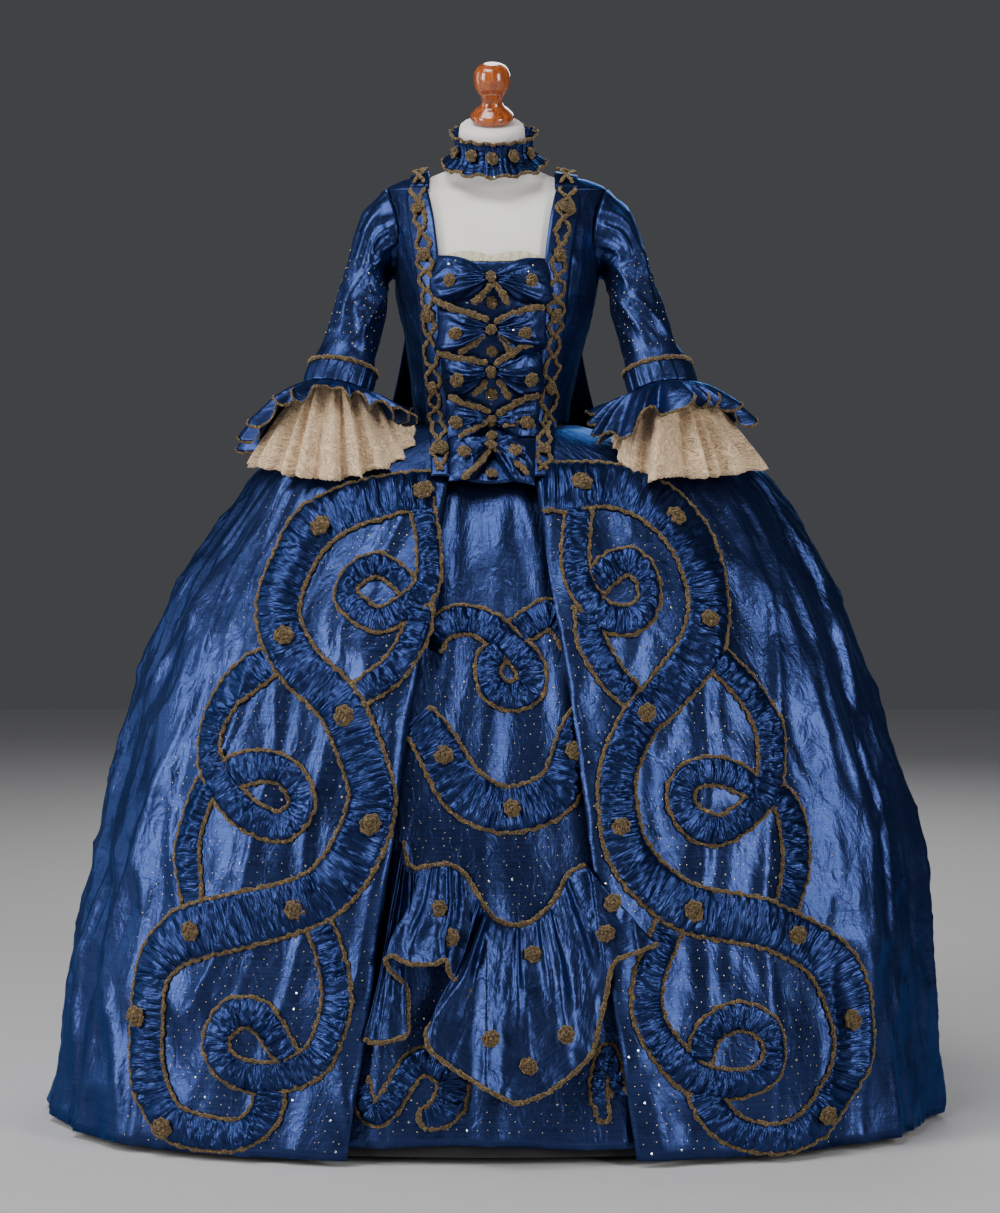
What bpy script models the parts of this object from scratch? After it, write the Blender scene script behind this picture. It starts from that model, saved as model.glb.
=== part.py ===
# Robe a la francaise on a limbless dress form, as solids at real size.
# Metres, +Z up, the gown faces -Y. The origin is the centre of the stand's underside.
# Angles go round the gown as seen from above: 0 is the centre front, 90 the +X side, 180 the back.
import math

import bmesh
import bpy
from mathutils import Vector

# Driving dimensions
CLOTH = 0.0020             # wall of the silk pieces
LACE = 0.0012              # wall of the lace and the sheer frill
SEAM_GAP = 0.0006          # left between pieces that are sewn together
TRIM_GAP = 0.0012          # from a panel to what is sewn flat on it
WAIST_Z = 1.030            # seam between bodice and skirt
HEM_FRONT_Z = 0.008
PETTICOAT_HEM_Z = 0.030
PETTICOAT_IN = 0.010       # petticoat's depth behind the robe's surface
UNDER_IN = 0.025           # black under-petticoat's depth behind it
FORM_IN = 0.0065           # the form's depth behind the bodice's outer surface
SECTION_POWER = 2.35       # fullness of the skirt's oval
BODICE_POWER = 2.30        # fullness of the bodice's oval
SIDE_SEAM = 98.0           # angle of the seam between robe front and robe back
BACK_SEAM = 152.0          # angle where the robe back meets the sack-back pleats
BAND_STEP = 0.038          # length of a facet along a ruched band

# Skirt of the robe: the half width, and the depth before and behind the axis, at each height.
SKIRT = [
    dict(z=1.030, half_width=0.1145, front=0.108, back=0.092),
    dict(z=1.015, half_width=0.170, front=0.120, back=0.120),
    dict(z=1.000, half_width=0.235, front=0.134, back=0.150),
    dict(z=0.980, half_width=0.322, front=0.152, back=0.190),
    dict(z=0.960, half_width=0.380, front=0.170, back=0.222),
    dict(z=0.920, half_width=0.416, front=0.202, back=0.265),
    dict(z=0.850, half_width=0.462, front=0.245, back=0.318),
    dict(z=0.780, half_width=0.500, front=0.280, back=0.358),
    dict(z=0.690, half_width=0.536, front=0.313, back=0.398),
    dict(z=0.600, half_width=0.563, front=0.339, back=0.432),
    dict(z=0.500, half_width=0.590, front=0.363, back=0.464),
    dict(z=0.400, half_width=0.610, front=0.385, back=0.494),
    dict(z=0.300, half_width=0.626, front=0.404, back=0.522),
    dict(z=0.200, half_width=0.640, front=0.420, back=0.548),
    dict(z=0.100, half_width=0.653, front=0.433, back=0.574),
    dict(z=0.000, half_width=0.6675, front=0.445, back=0.600),
]

# Bodice, outer surface. middle is where the section's widest line lies along Y.
BODICE = [
    dict(z=1.402, half_width=0.096, front=0.030, back=0.052, middle=0.012),
    dict(z=1.392, half_width=0.128, front=0.040, back=0.064, middle=0.012),
    dict(z=1.378, half_width=0.158, front=0.056, back=0.078, middle=0.011),
    dict(z=1.360, half_width=0.165, front=0.076, back=0.090, middle=0.009),
    dict(z=1.335, half_width=0.164, front=0.096, back=0.100, middle=0.006),
    dict(z=1.300, half_width=0.159, front=0.114, back=0.108, middle=0.003),
    dict(z=1.260, half_width=0.153, front=0.127, back=0.112, middle=0.000),
    dict(z=1.220, half_width=0.148, front=0.133, back=0.112, middle=0.000),
    dict(z=1.180, half_width=0.140, front=0.131, back=0.108, middle=0.000),
    dict(z=1.130, half_width=0.129, front=0.125, back=0.102, middle=0.000),
    dict(z=1.080, half_width=0.119, front=0.117, back=0.095, middle=0.000),
    dict(z=1.030, half_width=0.1145, front=0.108, back=0.092, middle=0.000),
]

# Form above and below what the bodice covers; lean is how far the section tips forward.
FORM_NECK = [
    dict(z=1.404, half_width=0.076, front=0.044, back=0.050, middle=0.012, lean=0.10),
    dict(z=1.418, half_width=0.061, front=0.047, back=0.049, middle=0.008, lean=0.20),
    dict(z=1.436, half_width=0.052, front=0.048, back=0.048, middle=0.001, lean=0.30),
    dict(z=1.458, half_width=0.0495, front=0.048, back=0.048, middle=-0.007, lean=0.36),
    dict(z=1.472, half_width=0.0480, front=0.047, back=0.047, middle=-0.012, lean=0.36),
    dict(z=1.477, half_width=0.0430, front=0.042, back=0.042, middle=-0.013, lean=0.36),
]
FORM_HIPS = [
    dict(z=0.720, half_width=0.128, front=0.082, back=0.092, middle=0.010, lean=0),
    dict(z=0.735, half_width=0.142, front=0.094, back=0.104, middle=0.010, lean=0),
    dict(z=0.830, half_width=0.160, front=0.108, back=0.122, middle=0.008, lean=0),
    dict(z=0.930, half_width=0.138, front=0.100, back=0.104, middle=0.004, lean=0),
    dict(z=0.985, half_width=0.114, front=0.098, back=0.088, middle=0.000, lean=0),
]
NECK_TOP = Vector((0.0, -0.013, 1.4775))
NECK_LEAN = 0.36

# Turned knob: radius at each height above the neck's top, and the stand under the form.
KNOB = [
    (0.0000, 0.0905), (0.0140, 0.0890), (0.0235, 0.0815), (0.0275, 0.0690), (0.0250, 0.0550),
    (0.0185, 0.0420), (0.0155, 0.0335), (0.0180, 0.0265), (0.0275, 0.0180), (0.0322, 0.0110),
    (0.0315, 0.0050), (0.0270, 0.0012), (0.0000, 0.0006),
]
POLE_RADIUS = 0.016
BASE_RADIUS = 0.190
BASE_THICK = 0.012

# Robing, folded back along each front edge of the bodice: inner and outer edge across the front.
ROBING = [
    dict(z=0.950, inner=0.0610, outer=0.0870),
    dict(z=1.010, inner=0.0625, outer=0.0900),
    dict(z=1.069, inner=0.0660, outer=0.0945),
    dict(z=1.165, inner=0.0730, outer=0.1030),
    dict(z=1.266, inner=0.0765, outer=0.1130),
    dict(z=1.323, inner=0.0830, outer=0.1220),
    dict(z=1.360, inner=0.0905, outer=0.1270),
    dict(z=1.378, inner=0.0960, outer=0.1240),
]
STOMACHER_TOP_Z = 1.270
STOMACHER_LOW_Z = 0.942
BOWS = [
    dict(z=1.243, half_width=0.079, half_height=0.024),
    dict(z=1.180, half_width=0.074, half_height=0.023),
    dict(z=1.115, half_width=0.070, half_height=0.023),
    dict(z=1.046, half_width=0.064, half_height=0.023),
    dict(z=0.985, half_width=0.060, half_height=0.024),
]

# Folds of the robe's skirt from the panniers down: which column stands out, and by how much at the hem.
FRONT_FOLDS = {7: 0.010, 9: 0.012}
BACK_FOLDS = {1: 0.011, 3: 0.008}
FOLD_TOP_Z = 0.985         # they start here and are full half way down

# Front opening of the robe's skirt: half its width at each height.
OPENING = [(0.000, 0.203), (0.220, 0.170), (0.450, 0.136), (0.610, 0.116), (0.790, 0.086), (0.990, 0.058)]

# Sack back: the line of its outer surface down the centre, and half its width.
SACK = [
    dict(z=0.0060, behind=0.780, half_width=0.395),
    dict(z=0.0062, behind=0.700, half_width=0.395),
    dict(z=0.0260, behind=0.640, half_width=0.385),
    dict(z=0.130, behind=0.604, half_width=0.366),
    dict(z=0.330, behind=0.552, half_width=0.350),
    dict(z=0.560, behind=0.482, half_width=0.324),
    dict(z=0.760, behind=0.406, half_width=0.288),
    dict(z=0.850, behind=0.362, half_width=0.266),
    dict(z=0.920, behind=0.320, half_width=0.242),
    dict(z=0.985, behind=0.270, half_width=0.205),
    dict(z=1.030, behind=0.230, half_width=0.165),
    dict(z=1.160, behind=0.172, half_width=0.134),
    dict(z=1.290, behind=0.146, half_width=0.122),
    dict(z=1.335, behind=0.138, half_width=0.116),
    dict(z=1.376, behind=0.120, half_width=0.108),
]
SACK_CURVE = 0.33          # how far its sides come forward, for each unit of half width
SACK_CLEAR = 0.010
# Its box pleats: place across as a share of the half width, and how far that line is set in.
SACK_PLEATS = [
    (0.00, 0.011), (0.06, 0.000), (0.44, 0.000), (0.50, 0.006), (0.67, 0.006), (0.73, 0.012), (1.00, 0.012),
]

# Ruched bands on each robe front. A route is given by points across and up; a volute winds about a centre.
MAIN_ROUTE = [
    (0.086, 0.931), (0.160, 0.936), (0.243, 0.907), (0.298, 0.842), (0.305, 0.752), (0.246, 0.660),
    (0.184, 0.570), (0.176, 0.465), (0.232, 0.381), (0.352, 0.325), (0.462, 0.274), (0.505, 0.170),
    (0.476, 0.080), (0.410, 0.044), (0.338, 0.047), (0.296, 0.068),
]
VOLUTES = [
    dict(name="upper_volute", centre=(0.171, 0.794), start=120, sweep=370, reach=0.104, ring=0.0440,
         width=0.038),
    dict(name="middle_volute", centre=(0.325, 0.506), start=86, sweep=-372, reach=0.158, ring=0.0520,
         width=0.038),
    dict(name="lower_volute", centre=(0.340, 0.160), start=121, sweep=374, reach=0.165, ring=0.0430,
         width=0.038),
]
LINKS = [
    dict(name="upper_link", width=0.036,
         route=[(0.1195, 0.728), (0.135, 0.704), (0.162, 0.676), (0.187, 0.652)]),
    dict(name="middle_link", width=0.036,
         route=[(0.4220, 0.490), (0.442, 0.450), (0.444, 0.400), (0.430, 0.344)]),
]
MAIN_WIDTH = 0.058

# Trims of the petticoat's front, inside the opening.
PETTICOAT_VOLUTE = dict(centre=(0.010, 0.690), start=146, sweep=-340, reach=0.096, ring=0.0400, width=0.040)
PETTICOAT_BRANCH = [(0.0560, 0.7430), (0.074, 0.7560), (0.090, 0.7600)]
PETTICOAT_SWAG = [(-0.098, 0.590), (-0.073, 0.550), (-0.030, 0.508), (0.014, 0.492), (0.062, 0.506),
                  (0.097, 0.544), (0.104, 0.592)]
FOOT_SCROLL = [(-0.166, 0.100), (-0.150, 0.066), (-0.122, 0.098), (-0.092, 0.132), (-0.060, 0.118),
               (-0.058, 0.074)]
FOOT_SCROLL_RIGHT = [(0.152, 0.152), (0.148, 0.110), (0.156, 0.072)]

# Petticoat flounce: across, its gathered top and its hanging hem.
FLOUNCE = [
    dict(x=-0.130, top=0.428, hem=0.180), dict(x=-0.106, top=0.402, hem=0.186),
    dict(x=-0.080, top=0.399, hem=0.262), dict(x=-0.052, top=0.404, hem=0.250),
    dict(x=-0.024, top=0.388, hem=0.170), dict(x=0.004, top=0.362, hem=0.112),
    dict(x=0.030, top=0.336, hem=0.090), dict(x=0.056, top=0.330, hem=0.082),
    dict(x=0.082, top=0.344, hem=0.094), dict(x=0.106, top=0.366, hem=0.140),
    dict(x=0.124, top=0.396, hem=0.225), dict(x=0.134, top=0.420, hem=0.285),
]
FLOUNCE_SPREAD = 1.24      # how much wider its hem hangs than its gathers
FLOUNCE_FOLD = 0.007

# Sleeve on the +X side, from the elbow up: inner and outer ends of each ring as (across, up), how far back
# its middle lies, half its depth, and how much its back is lower than its front.
SLEEVE = [
    dict(inner=(0.1860, 1.1060), outer=(0.2770, 1.1290), y=-0.078, deep=0.0480, slope=-0.32),
    dict(inner=(0.1720, 1.1560), outer=(0.2540, 1.1810), y=-0.062, deep=0.0490, slope=-0.28),
    dict(inner=(0.1620, 1.2020), outer=(0.2370, 1.2360), y=-0.044, deep=0.0510, slope=-0.20),
    dict(inner=(0.1600, 1.2290), outer=(0.2200, 1.2950), y=-0.026, deep=0.0550, slope=-0.12),
    dict(inner=(0.1590, 1.2410), outer=(0.2010, 1.3480), y=-0.010, deep=0.0580, slope=-0.05),
    dict(inner=(0.1585, 1.2480), outer=(0.1730, 1.3840), y=0.002, deep=0.0580, slope=0.00),
]
ARMHOLE_HOLLOW = 0.014     # how far the armhole's front and back lie nearer the middle than its ends
CUFF_DROP = Vector((0.0085, -0.0105, -0.0320))
SLEEVE_FLOUNCE = dict(drop=(0.0060, -0.0040, -0.0400), side=0.118, deep=0.088, side_drop=0.032,
                      waves=6, wave=0.0080)
SLEEVE_LACE = dict(drop=(0.0200, -0.0300, -0.1080), side=0.104, deep=0.064, side_drop=0.0,
                   waves=6, wave=0.0060)
LACE_CLEARANCE = 0.009     # over the pannier top where the lace would rest on it

CHOKER = [
    dict(up=-0.0215, radius=0.0720), dict(up=-0.0110, radius=0.0610), dict(up=0.0040, radius=0.0560),
    dict(up=0.0200, radius=0.0595),
]
CHOKER_CENTRE = Vector((0.0, -0.004, 1.4420))

COLOURS = {
    "blue_silk": ((0.035, 0.105, 0.300), 0.34, 0.35),
    "ruched_silk": ((0.030, 0.085, 0.250), 0.36, 0.30),
    "lace": ((0.640, 0.520, 0.350), 0.85, 0.0),
    "sheer_frill": ((0.560, 0.500, 0.380), 0.80, 0.0),
    "black_cloth": ((0.008, 0.008, 0.010), 0.90, 0.0),
    "form_cloth": ((0.800, 0.770, 0.720), 0.85, 0.0),
    "varnished_wood": ((0.310, 0.075, 0.018), 0.22, 0.0),
    "painted_stand": ((0.040, 0.040, 0.042), 0.45, 0.5),
}
materials = {}
robe = bpy.data.collections.new("robe_a_la_francaise")


def start_scene():
    for obj in list(bpy.data.objects):
        bpy.data.objects.remove(obj)
    bpy.context.scene.collection.children.link(robe)
    for name, (colour, roughness, metallic) in COLOURS.items():
        material = bpy.data.materials.new(name)
        material.use_nodes = True
        shader = material.node_tree.nodes["Principled BSDF"]
        shader.inputs["Base Color"].default_value = (*colour, 1.0)
        shader.inputs["Roughness"].default_value = roughness
        shader.inputs["Metallic"].default_value = metallic
        materials[name] = material


# Curves and tables
def between(table, z, key):
    """A table's column read smoothly at height z; the table runs either way along z."""
    rows = sorted(table, key=lambda row: row["z"])
    z = min(max(z, rows[0]["z"]), rows[-1]["z"])
    steps = [(b[key] - a[key]) / (b["z"] - a["z"]) for a, b in zip(rows, rows[1:])]
    at = next(i for i, row in enumerate(rows[1:]) if z <= row["z"])

    def slope(i):
        if i == 0 or i == len(steps):
            return steps[min(i, len(steps) - 1)]
        a, b = steps[i - 1], steps[i]
        return 0.0 if a * b <= 0 else 2 * a * b / (a + b)

    low, high = rows[at], rows[at + 1]
    span = high["z"] - low["z"]
    t = (z - low["z"]) / span
    return (
        (2 * t**3 - 3 * t**2 + 1) * low[key]
        + (t**3 - 2 * t**2 + t) * span * slope(at)
        + (3 * t**2 - 2 * t**3) * high[key]
        + (t**3 - t**2) * span * slope(at + 1)
    )


def straight(pairs, value):
    """Linear reading of (place, size) pairs in rising order."""
    value = min(max(value, pairs[0][0]), pairs[-1][0])
    for (a, low), (b, high) in zip(pairs, pairs[1:]):
        if value <= b:
            return low + (high - low) * (value - a) / (b - a)
    return pairs[-1][1]


def power(value, exponent):
    return math.copysign(abs(value) ** exponent, value)


def smooth_route(points, step=BAND_STEP):
    """Evenly spaced points on a smooth curve through the given ones."""
    ends = [tuple(2 * a - b for a, b in zip(points[0], points[1]))]
    ends += list(points) + [tuple(2 * a - b for a, b in zip(points[-1], points[-2]))]
    fine = []
    for p, q, r, s in zip(ends, ends[1:], ends[2:], ends[3:]):
        for i in range(12):
            t = i / 12
            fine.append(tuple(
                0.5 * (2 * b + (c - a) * t + (2 * a - 5 * b + 4 * c - d) * t * t
                       + (3 * b - a - 3 * c + d) * t**3)
                for a, b, c, d in zip(p, q, r, s)))
    fine.append(tuple(points[-1]))
    return even(fine, step)


def even(line, step):
    lengths = [0.0]
    for a, b in zip(line, line[1:]):
        lengths.append(lengths[-1] + math.dist(a, b))
    count = max(2, round(lengths[-1] / step))
    found, at = [], 0
    for i in range(count + 1):
        want = lengths[-1] * i / count
        while at < len(line) - 2 and lengths[at + 1] < want:
            at += 1
        t = (want - lengths[at]) / (lengths[at + 1] - lengths[at])
        found.append(tuple(a + (b - a) * t for a, b in zip(line[at], line[at + 1])))
    return found


def volute_route(centre, start, sweep, reach, ring, **_):
    """A line that comes in from reach to a ring about the centre and winds once round it."""
    line = []
    for i in range(121):
        t = i / 120
        lead = max(0.0, 1 - t / 0.36)
        radius = ring + (reach - ring) * lead**1.7
        angle = math.radians(start + sweep * t)
        line.append((centre[0] + radius * math.cos(angle), centre[1] + radius * math.sin(angle)))
    return even(line, BAND_STEP * 0.72)


# Surfaces of the gown
def skirt_place(angle, z):
    turn = math.radians(angle)
    across, along = power(math.sin(turn), 2 / SECTION_POWER), power(math.cos(turn), 2 / SECTION_POWER)
    depth = between(SKIRT, z, "front" if along > 0 else "back")
    return Vector((between(SKIRT, z, "half_width") * across, -depth * along, z))


def skirt_point(angle, z, out=0.0):
    """A point of the skirt's outer surface, moved out along its normal."""
    place = skirt_place(angle, z)
    if out:
        low, high = max(z - 0.004, 0.0), min(z + 0.004, WAIST_Z)
        around = skirt_place(angle + 0.5, z) - skirt_place(angle - 0.5, z)
        upward = skirt_place(angle, high) - skirt_place(angle, low)
        place = place + around.cross(upward).normalized() * out
    return place


def front_angle(x, z):
    """The angle at which the skirt's front lies at x."""
    share = min(abs(x) / between(SKIRT, z, "half_width"), 0.9999)
    return math.copysign(math.degrees(math.atan2(
        share ** (SECTION_POWER / 2), (1 - share**SECTION_POWER) ** 0.5)), x)


def skirt_front(x, z, out=0.0):
    return skirt_point(front_angle(x, z), z, out)


def skirt_top(x, y):
    """The height of the skirt's surface over a place on the plan."""
    low, high = 0.0, WAIST_Z
    for _ in range(30):
        z = (low + high) / 2
        depth = between(SKIRT, z, "front" if y < 0 else "back")
        inside = (abs(x) / between(SKIRT, z, "half_width")) ** SECTION_POWER
        inside += (abs(y) / depth) ** SECTION_POWER
        low, high = (z, high) if inside < 1 else (low, z)
    return low


def bodice_place(angle, z):
    turn = math.radians(angle)
    across, along = power(math.sin(turn), 2 / BODICE_POWER), power(math.cos(turn), 2 / BODICE_POWER)
    depth = between(BODICE, z, "front" if along > 0 else "back")
    y = between(BODICE, z, "middle") - depth * along
    return Vector((between(BODICE, z, "half_width") * across, y, z))


def bodice_point(angle, z, out=0.0):
    place = bodice_place(angle, z)
    if out:
        low, high = max(z - 0.004, WAIST_Z), min(z + 0.004, BODICE[0]["z"])
        around = bodice_place(angle + 0.5, z) - bodice_place(angle - 0.5, z)
        upward = bodice_place(angle, high) - bodice_place(angle, low)
        place = place + around.cross(upward).normalized() * out
    return place


def bodice_angle(x, z):
    share = min(x / between(BODICE, z, "half_width"), 0.9999)
    return math.degrees(math.atan2(share ** (BODICE_POWER / 2), (1 - share**BODICE_POWER) ** 0.5))


def gown_front(x, z, out=0.0):
    """The front of bodice or skirt at x: what the robings and the stomacher follow."""
    low = WAIST_Z - 0.004
    rise = 0.0060 * min(max((1.045 - z) / (1.045 - low), 0), 1)
    if z <= low:
        return skirt_front(x, z, out + rise)
    return bodice_point(math.copysign(bodice_angle(abs(x), z), x), z, out + rise)


def gown_back(x, z):
    """How far back the gown under the sack lies at x."""
    table, exponent = (SKIRT, SECTION_POWER) if z < WAIST_Z else (BODICE, BODICE_POWER)
    share = min(abs(x) / between(table, z, "half_width"), 1.0)
    middle = 0.0 if z < WAIST_Z else between(BODICE, z, "middle")
    return middle + between(table, z, "back") * (1 - share**exponent) ** (1 / exponent)


# Makers of solids
def keep(obj, material):
    obj.data.materials.append(materials[material])
    robe.objects.link(obj)
    return obj


def sheet(name, rows, material, wall=CLOTH, closed=False, smooth=True):
    """A cloth wall. Rows run upwards, each counter-clockwise seen from above, so it faces out."""
    across = [list(row) + ([row[0]] if closed else []) for row in rows]
    bm = bmesh.new()
    bmesh.ops.create_grid(bm, x_segments=len(across[0]) - 1, y_segments=len(across) - 1, size=1)
    for vert, place in zip(bm.verts, [p for row in across for p in row]):
        vert.co = place
    if closed:
        bmesh.ops.remove_doubles(bm, verts=bm.verts, dist=1e-6)
    mesh = bpy.data.meshes.new(name)
    bm.to_mesh(mesh)
    bm.free()
    if smooth:
        mesh.shade_smooth()
    obj = bpy.data.objects.new(name, mesh)
    if wall:
        solid = obj.modifiers.new("wall", "SOLIDIFY")
        solid.thickness, solid.offset, solid.use_even_offset = wall, -1, True
    return keep(obj, material)


def mirrored(rows):
    return [[Vector((-p[0], p[1], p[2])) for p in reversed(row)] for row in rows]


def both_sides(name, rows, material, **options):
    sheet(name + "_right", rows, material, **options)
    sheet(name + "_left", mirrored(rows), material, **options)


def turned(name, profile, material, place, lean=0.0, steps=20):
    """A turned solid; the profile runs down its outer side."""
    mesh = bpy.data.meshes.new(name)
    mesh.from_pydata([(r, 0, h) for r, h in profile], [(i, i + 1) for i in range(len(profile) - 1)], [])
    obj = bpy.data.objects.new(name, mesh)
    obj.location = place
    obj.rotation_euler = (math.atan(lean), 0, 0)
    screw = obj.modifiers.new("turn", "SCREW")
    screw.steps = screw.render_steps = steps
    screw.use_merge_vertices, screw.merge_threshold = True, 0.00001
    return keep(obj, material)


def band(name, route, width, surface, lift=TRIM_GAP, material="ruched_silk", lanes=1):
    """A strip sewn on a surface along a route across and up; surface(x, z, out) places it."""
    rows = []
    for lane in range(lanes + 1):
        row = []
        for i, (x, z) in enumerate(route):
            a, b = route[max(i - 1, 0)], route[min(i + 1, len(route) - 1)]
            along = Vector((b[0] - a[0], b[1] - a[1])).normalized()
            across = Vector((-along.y, along.x)) * width * (lane / lanes - 0.5)
            row.append(surface(x + across.x, z + across.y, lift + CLOTH))
        rows.append(row)
    return sheet(name, rows, material)


def mirrored_band(name, route, width, surface, **options):
    band(name + "_right", route, width, surface, **options)
    flipped = [(-x, z) for x, z in reversed(route)]
    band(name + "_left", flipped, width, surface, **options)


# Dress form and stand
def make_form():
    rows = []
    below = [dict(row, depth=0) for row in FORM_HIPS]
    inside = [
        dict(z=row["z"], half_width=row["half_width"] - FORM_IN, front=row["front"] - FORM_IN,
             back=row["back"] - FORM_IN, middle=row["middle"], lean=0)
        for row in reversed(BODICE) if row["z"] < 1.395
    ]
    for row in below + inside + FORM_NECK:
        ring = []
        for i in range(24):
            turn = math.radians(i * 15)
            fullness = 2 / BODICE_POWER if row["lean"] < 0.2 else 1.0
            across, along = power(math.sin(turn), fullness), power(math.cos(turn), fullness)
            y = row["middle"] - (row["front"] if along > 0 else row["back"]) * along
            ring.append((row["half_width"] * across, y, row["z"] + row["lean"] * (y - row["middle"])))
        rows.append(ring)
    form = sheet("dress_form", rows, "form_cloth", wall=0, closed=True)
    bm = bmesh.new()
    bm.from_mesh(form.data)
    bmesh.ops.holes_fill(bm, edges=[edge for edge in bm.edges if edge.is_boundary], sides=0)
    bm.to_mesh(form.data)
    bm.free()

    up = Vector((0, -NECK_LEAN, 1)).normalized()
    turned("neck_knob", KNOB, "varnished_wood", NECK_TOP + up * SEAM_GAP, NECK_LEAN)
    pole_top = FORM_HIPS[0]["z"] - SEAM_GAP
    pole_low = BASE_THICK + SEAM_GAP
    pole = [(0, pole_top), (POLE_RADIUS, pole_top), (POLE_RADIUS, pole_low), (0, pole_low)]
    turned("stand_pole", pole, "painted_stand", (0, 0, 0), steps=12)
    base = [(0, BASE_THICK), (BASE_RADIUS - 0.004, BASE_THICK), (BASE_RADIUS, BASE_THICK - 0.004),
            (BASE_RADIUS, 0), (0, 0)]
    turned("stand_base", base, "painted_stand", (0, 0, 0), steps=24)


# Bodice
def make_bodice():
    rows = []
    for z, angle in [(1.034, 90), (1.080, 90), (1.130, 90), (1.180, 90), (1.225, 90), (1.245, 84),
                     (1.275, 64), (1.310, 57), (1.342, 60), (1.360, 66), (1.372, 74), (1.381, 80)]:
        start = bodice_angle(min(between(ROBING, z, "inner") + 0.010, 0.150), z)
        rows.append([bodice_point(start + (angle - start) * i / 4, z) for i in range(5)])
    both_sides("bodice_front", rows, "blue_silk")

    rows = []
    for z, angle in [(1.034, 91), (1.080, 91), (1.130, 91), (1.180, 91), (1.225, 91), (1.250, 97),
                     (1.290, 110), (1.330, 114), (1.358, 108), (1.376, 99)]:
        rows.append([bodice_point(angle + (360 - 2 * angle) * i / 8, z) for i in range(9)])
    sheet("bodice_back", rows, "blue_silk")

    heights = [0.950, 0.985, 1.007, 1.026, 1.045, 1.090, 1.165, 1.225, 1.266, 1.310, 1.342, 1.362, 1.378]
    rows = []
    for z in heights:
        inner, outer = between(ROBING, z, "inner"), between(ROBING, z, "outer")
        rows.append([gown_front(inner + (outer - inner) * i / 2, z, 2 * TRIM_GAP + CLOTH)
                     for i in range(3)])
    both_sides("robing", rows, "blue_silk")

    rows = []
    for z in [STOMACHER_LOW_Z, 0.985, 1.007, 1.026, 1.045, 1.090, 1.135, 1.180, 1.225, STOMACHER_TOP_Z]:
        half = between(ROBING, z, "inner") + 0.008 if z > 0.99 else 0.046 + (z - STOMACHER_LOW_Z) * 0.3
        rows.append([gown_front(half * (i / 3 - 1), z, 0) for i in range(7)])
    sheet("stomacher", rows, "blue_silk")

    rows = []
    for height in (0.0, 0.012):
        half = between(ROBING, STOMACHER_TOP_Z, "inner") - 0.004
        rows.append([gown_front(half * (i / 7 - 1), STOMACHER_TOP_Z - 0.004, -0.0005)
                     + Vector((0, -0.002, height + 0.0050 + 0.003 * math.cos(i * math.pi) * (height > 0)))
                     for i in range(15)])
    sheet("neck_frill", rows, "sheer_frill", wall=LACE)


def make_bows():
    for number, bow in enumerate(BOWS, 1):
        rows = []
        for j in range(3):
            row = []
            for i in range(9):
                across = i / 4 - 1
                pinch = 0.30 + 0.70 * math.sin(min(abs(across) * 1.5, 1) * math.pi / 2)
                height = bow["half_height"] * (j - 1) * pinch
                puff = 0.0080 + 0.0070 * math.sin(abs(across) * math.pi) * (1 - 0.6 * abs(j - 1))
                place = gown_front(bow["half_width"] * across, bow["z"] + height, 0)
                row.append(place + Vector((0, -puff - 0.0040, 0)))
            rows.append(row)
        sheet(f"bow_{number}", rows, "blue_silk")


# Sleeves with their cuffs, silk flounces and lace
def arm_ring(centre, axis, side, deep, count, twist=0.0):
    """A ring about an arm, counter-clockwise from its outer side."""
    axis = Vector(axis).normalized()
    outward = Vector((0, 1, 0)).cross(axis).normalized()
    back = axis.cross(outward)
    places = []
    for i in range(count):
        turn = math.tau * i / count + twist
        places.append(Vector(centre) + outward * side * math.cos(turn) + back * deep * math.sin(turn))
    return places


def make_sleeves():
    count = 14
    rows = []
    for row in SLEEVE:
        ring = []
        inner, outer = Vector(row["inner"]), Vector(row["outer"])
        for i in range(count):
            turn = math.tau * i / count
            place = (inner + outer) / 2 + (outer - inner) / 2 * math.cos(turn)
            y = row["deep"] * math.sin(turn)
            hollow = ARMHOLE_HOLLOW * math.sin(turn) ** 2 * (row is SLEEVE[-1])
            ring.append(Vector((place.x - hollow, row["y"] + y, place.y + row["slope"] * y)))
        rows.append(ring)
    both_sides("sleeve", rows, "blue_silk", closed=True)

    axis = (-0.24, 0.30, 0.92)
    joint = Vector((0.2315, -0.078, 1.1175)) - Vector(axis).normalized() * 0.0015
    low = joint + CUFF_DROP
    rows = [arm_ring(low, axis, 0.0500, 0.0505, count), arm_ring(joint, axis, 0.0490, 0.0495, count)]
    both_sides("cuff", rows, "blue_silk", closed=True)
    for name, hang, material, wall, inset in (
        ("sleeve_flounce", SLEEVE_FLOUNCE, "blue_silk", CLOTH, 0.0),
        ("sleeve_lace", SLEEVE_LACE, "lace", LACE, 0.006),
    ):
        make_ruffle(name, hang, material, wall, low, axis, inset)


def make_ruffle(name, hang, material, wall, low, axis, inset):
    """A gathered ruffle that falls from the cuff and spreads in waves."""
    count = hang["waves"] * 4
    below = low - Vector(axis).normalized() * SEAM_GAP
    top = arm_ring(below, axis, 0.0500 - inset, 0.0505 - inset, count)
    centre = below + Vector(hang["drop"])
    hem = []
    for i, place in enumerate(arm_ring(centre, axis, hang["side"], hang["deep"], count)):
        wave = hang["wave"] * math.cos(math.tau * hang["waves"] * i / count)
        place = place + (place - centre).normalized() * wave
        place.z -= hang["side_drop"] * (0.5 + 0.5 * math.cos(math.tau * i / count)) ** 1.5
        lowest = skirt_top(place.x, place.y) + LACE_CLEARANCE + 0.022 * (inset == 0)
        hem.append(Vector((place.x, place.y, max(place.z, lowest))))
    middle = [(a * 0.45 + b * 0.55) + (b - below).normalized() * 0.008 for a, b in zip(top, hem)]
    rows = [hem, middle, top]
    both_sides(name, rows, material, wall=wall, closed=True)


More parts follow.
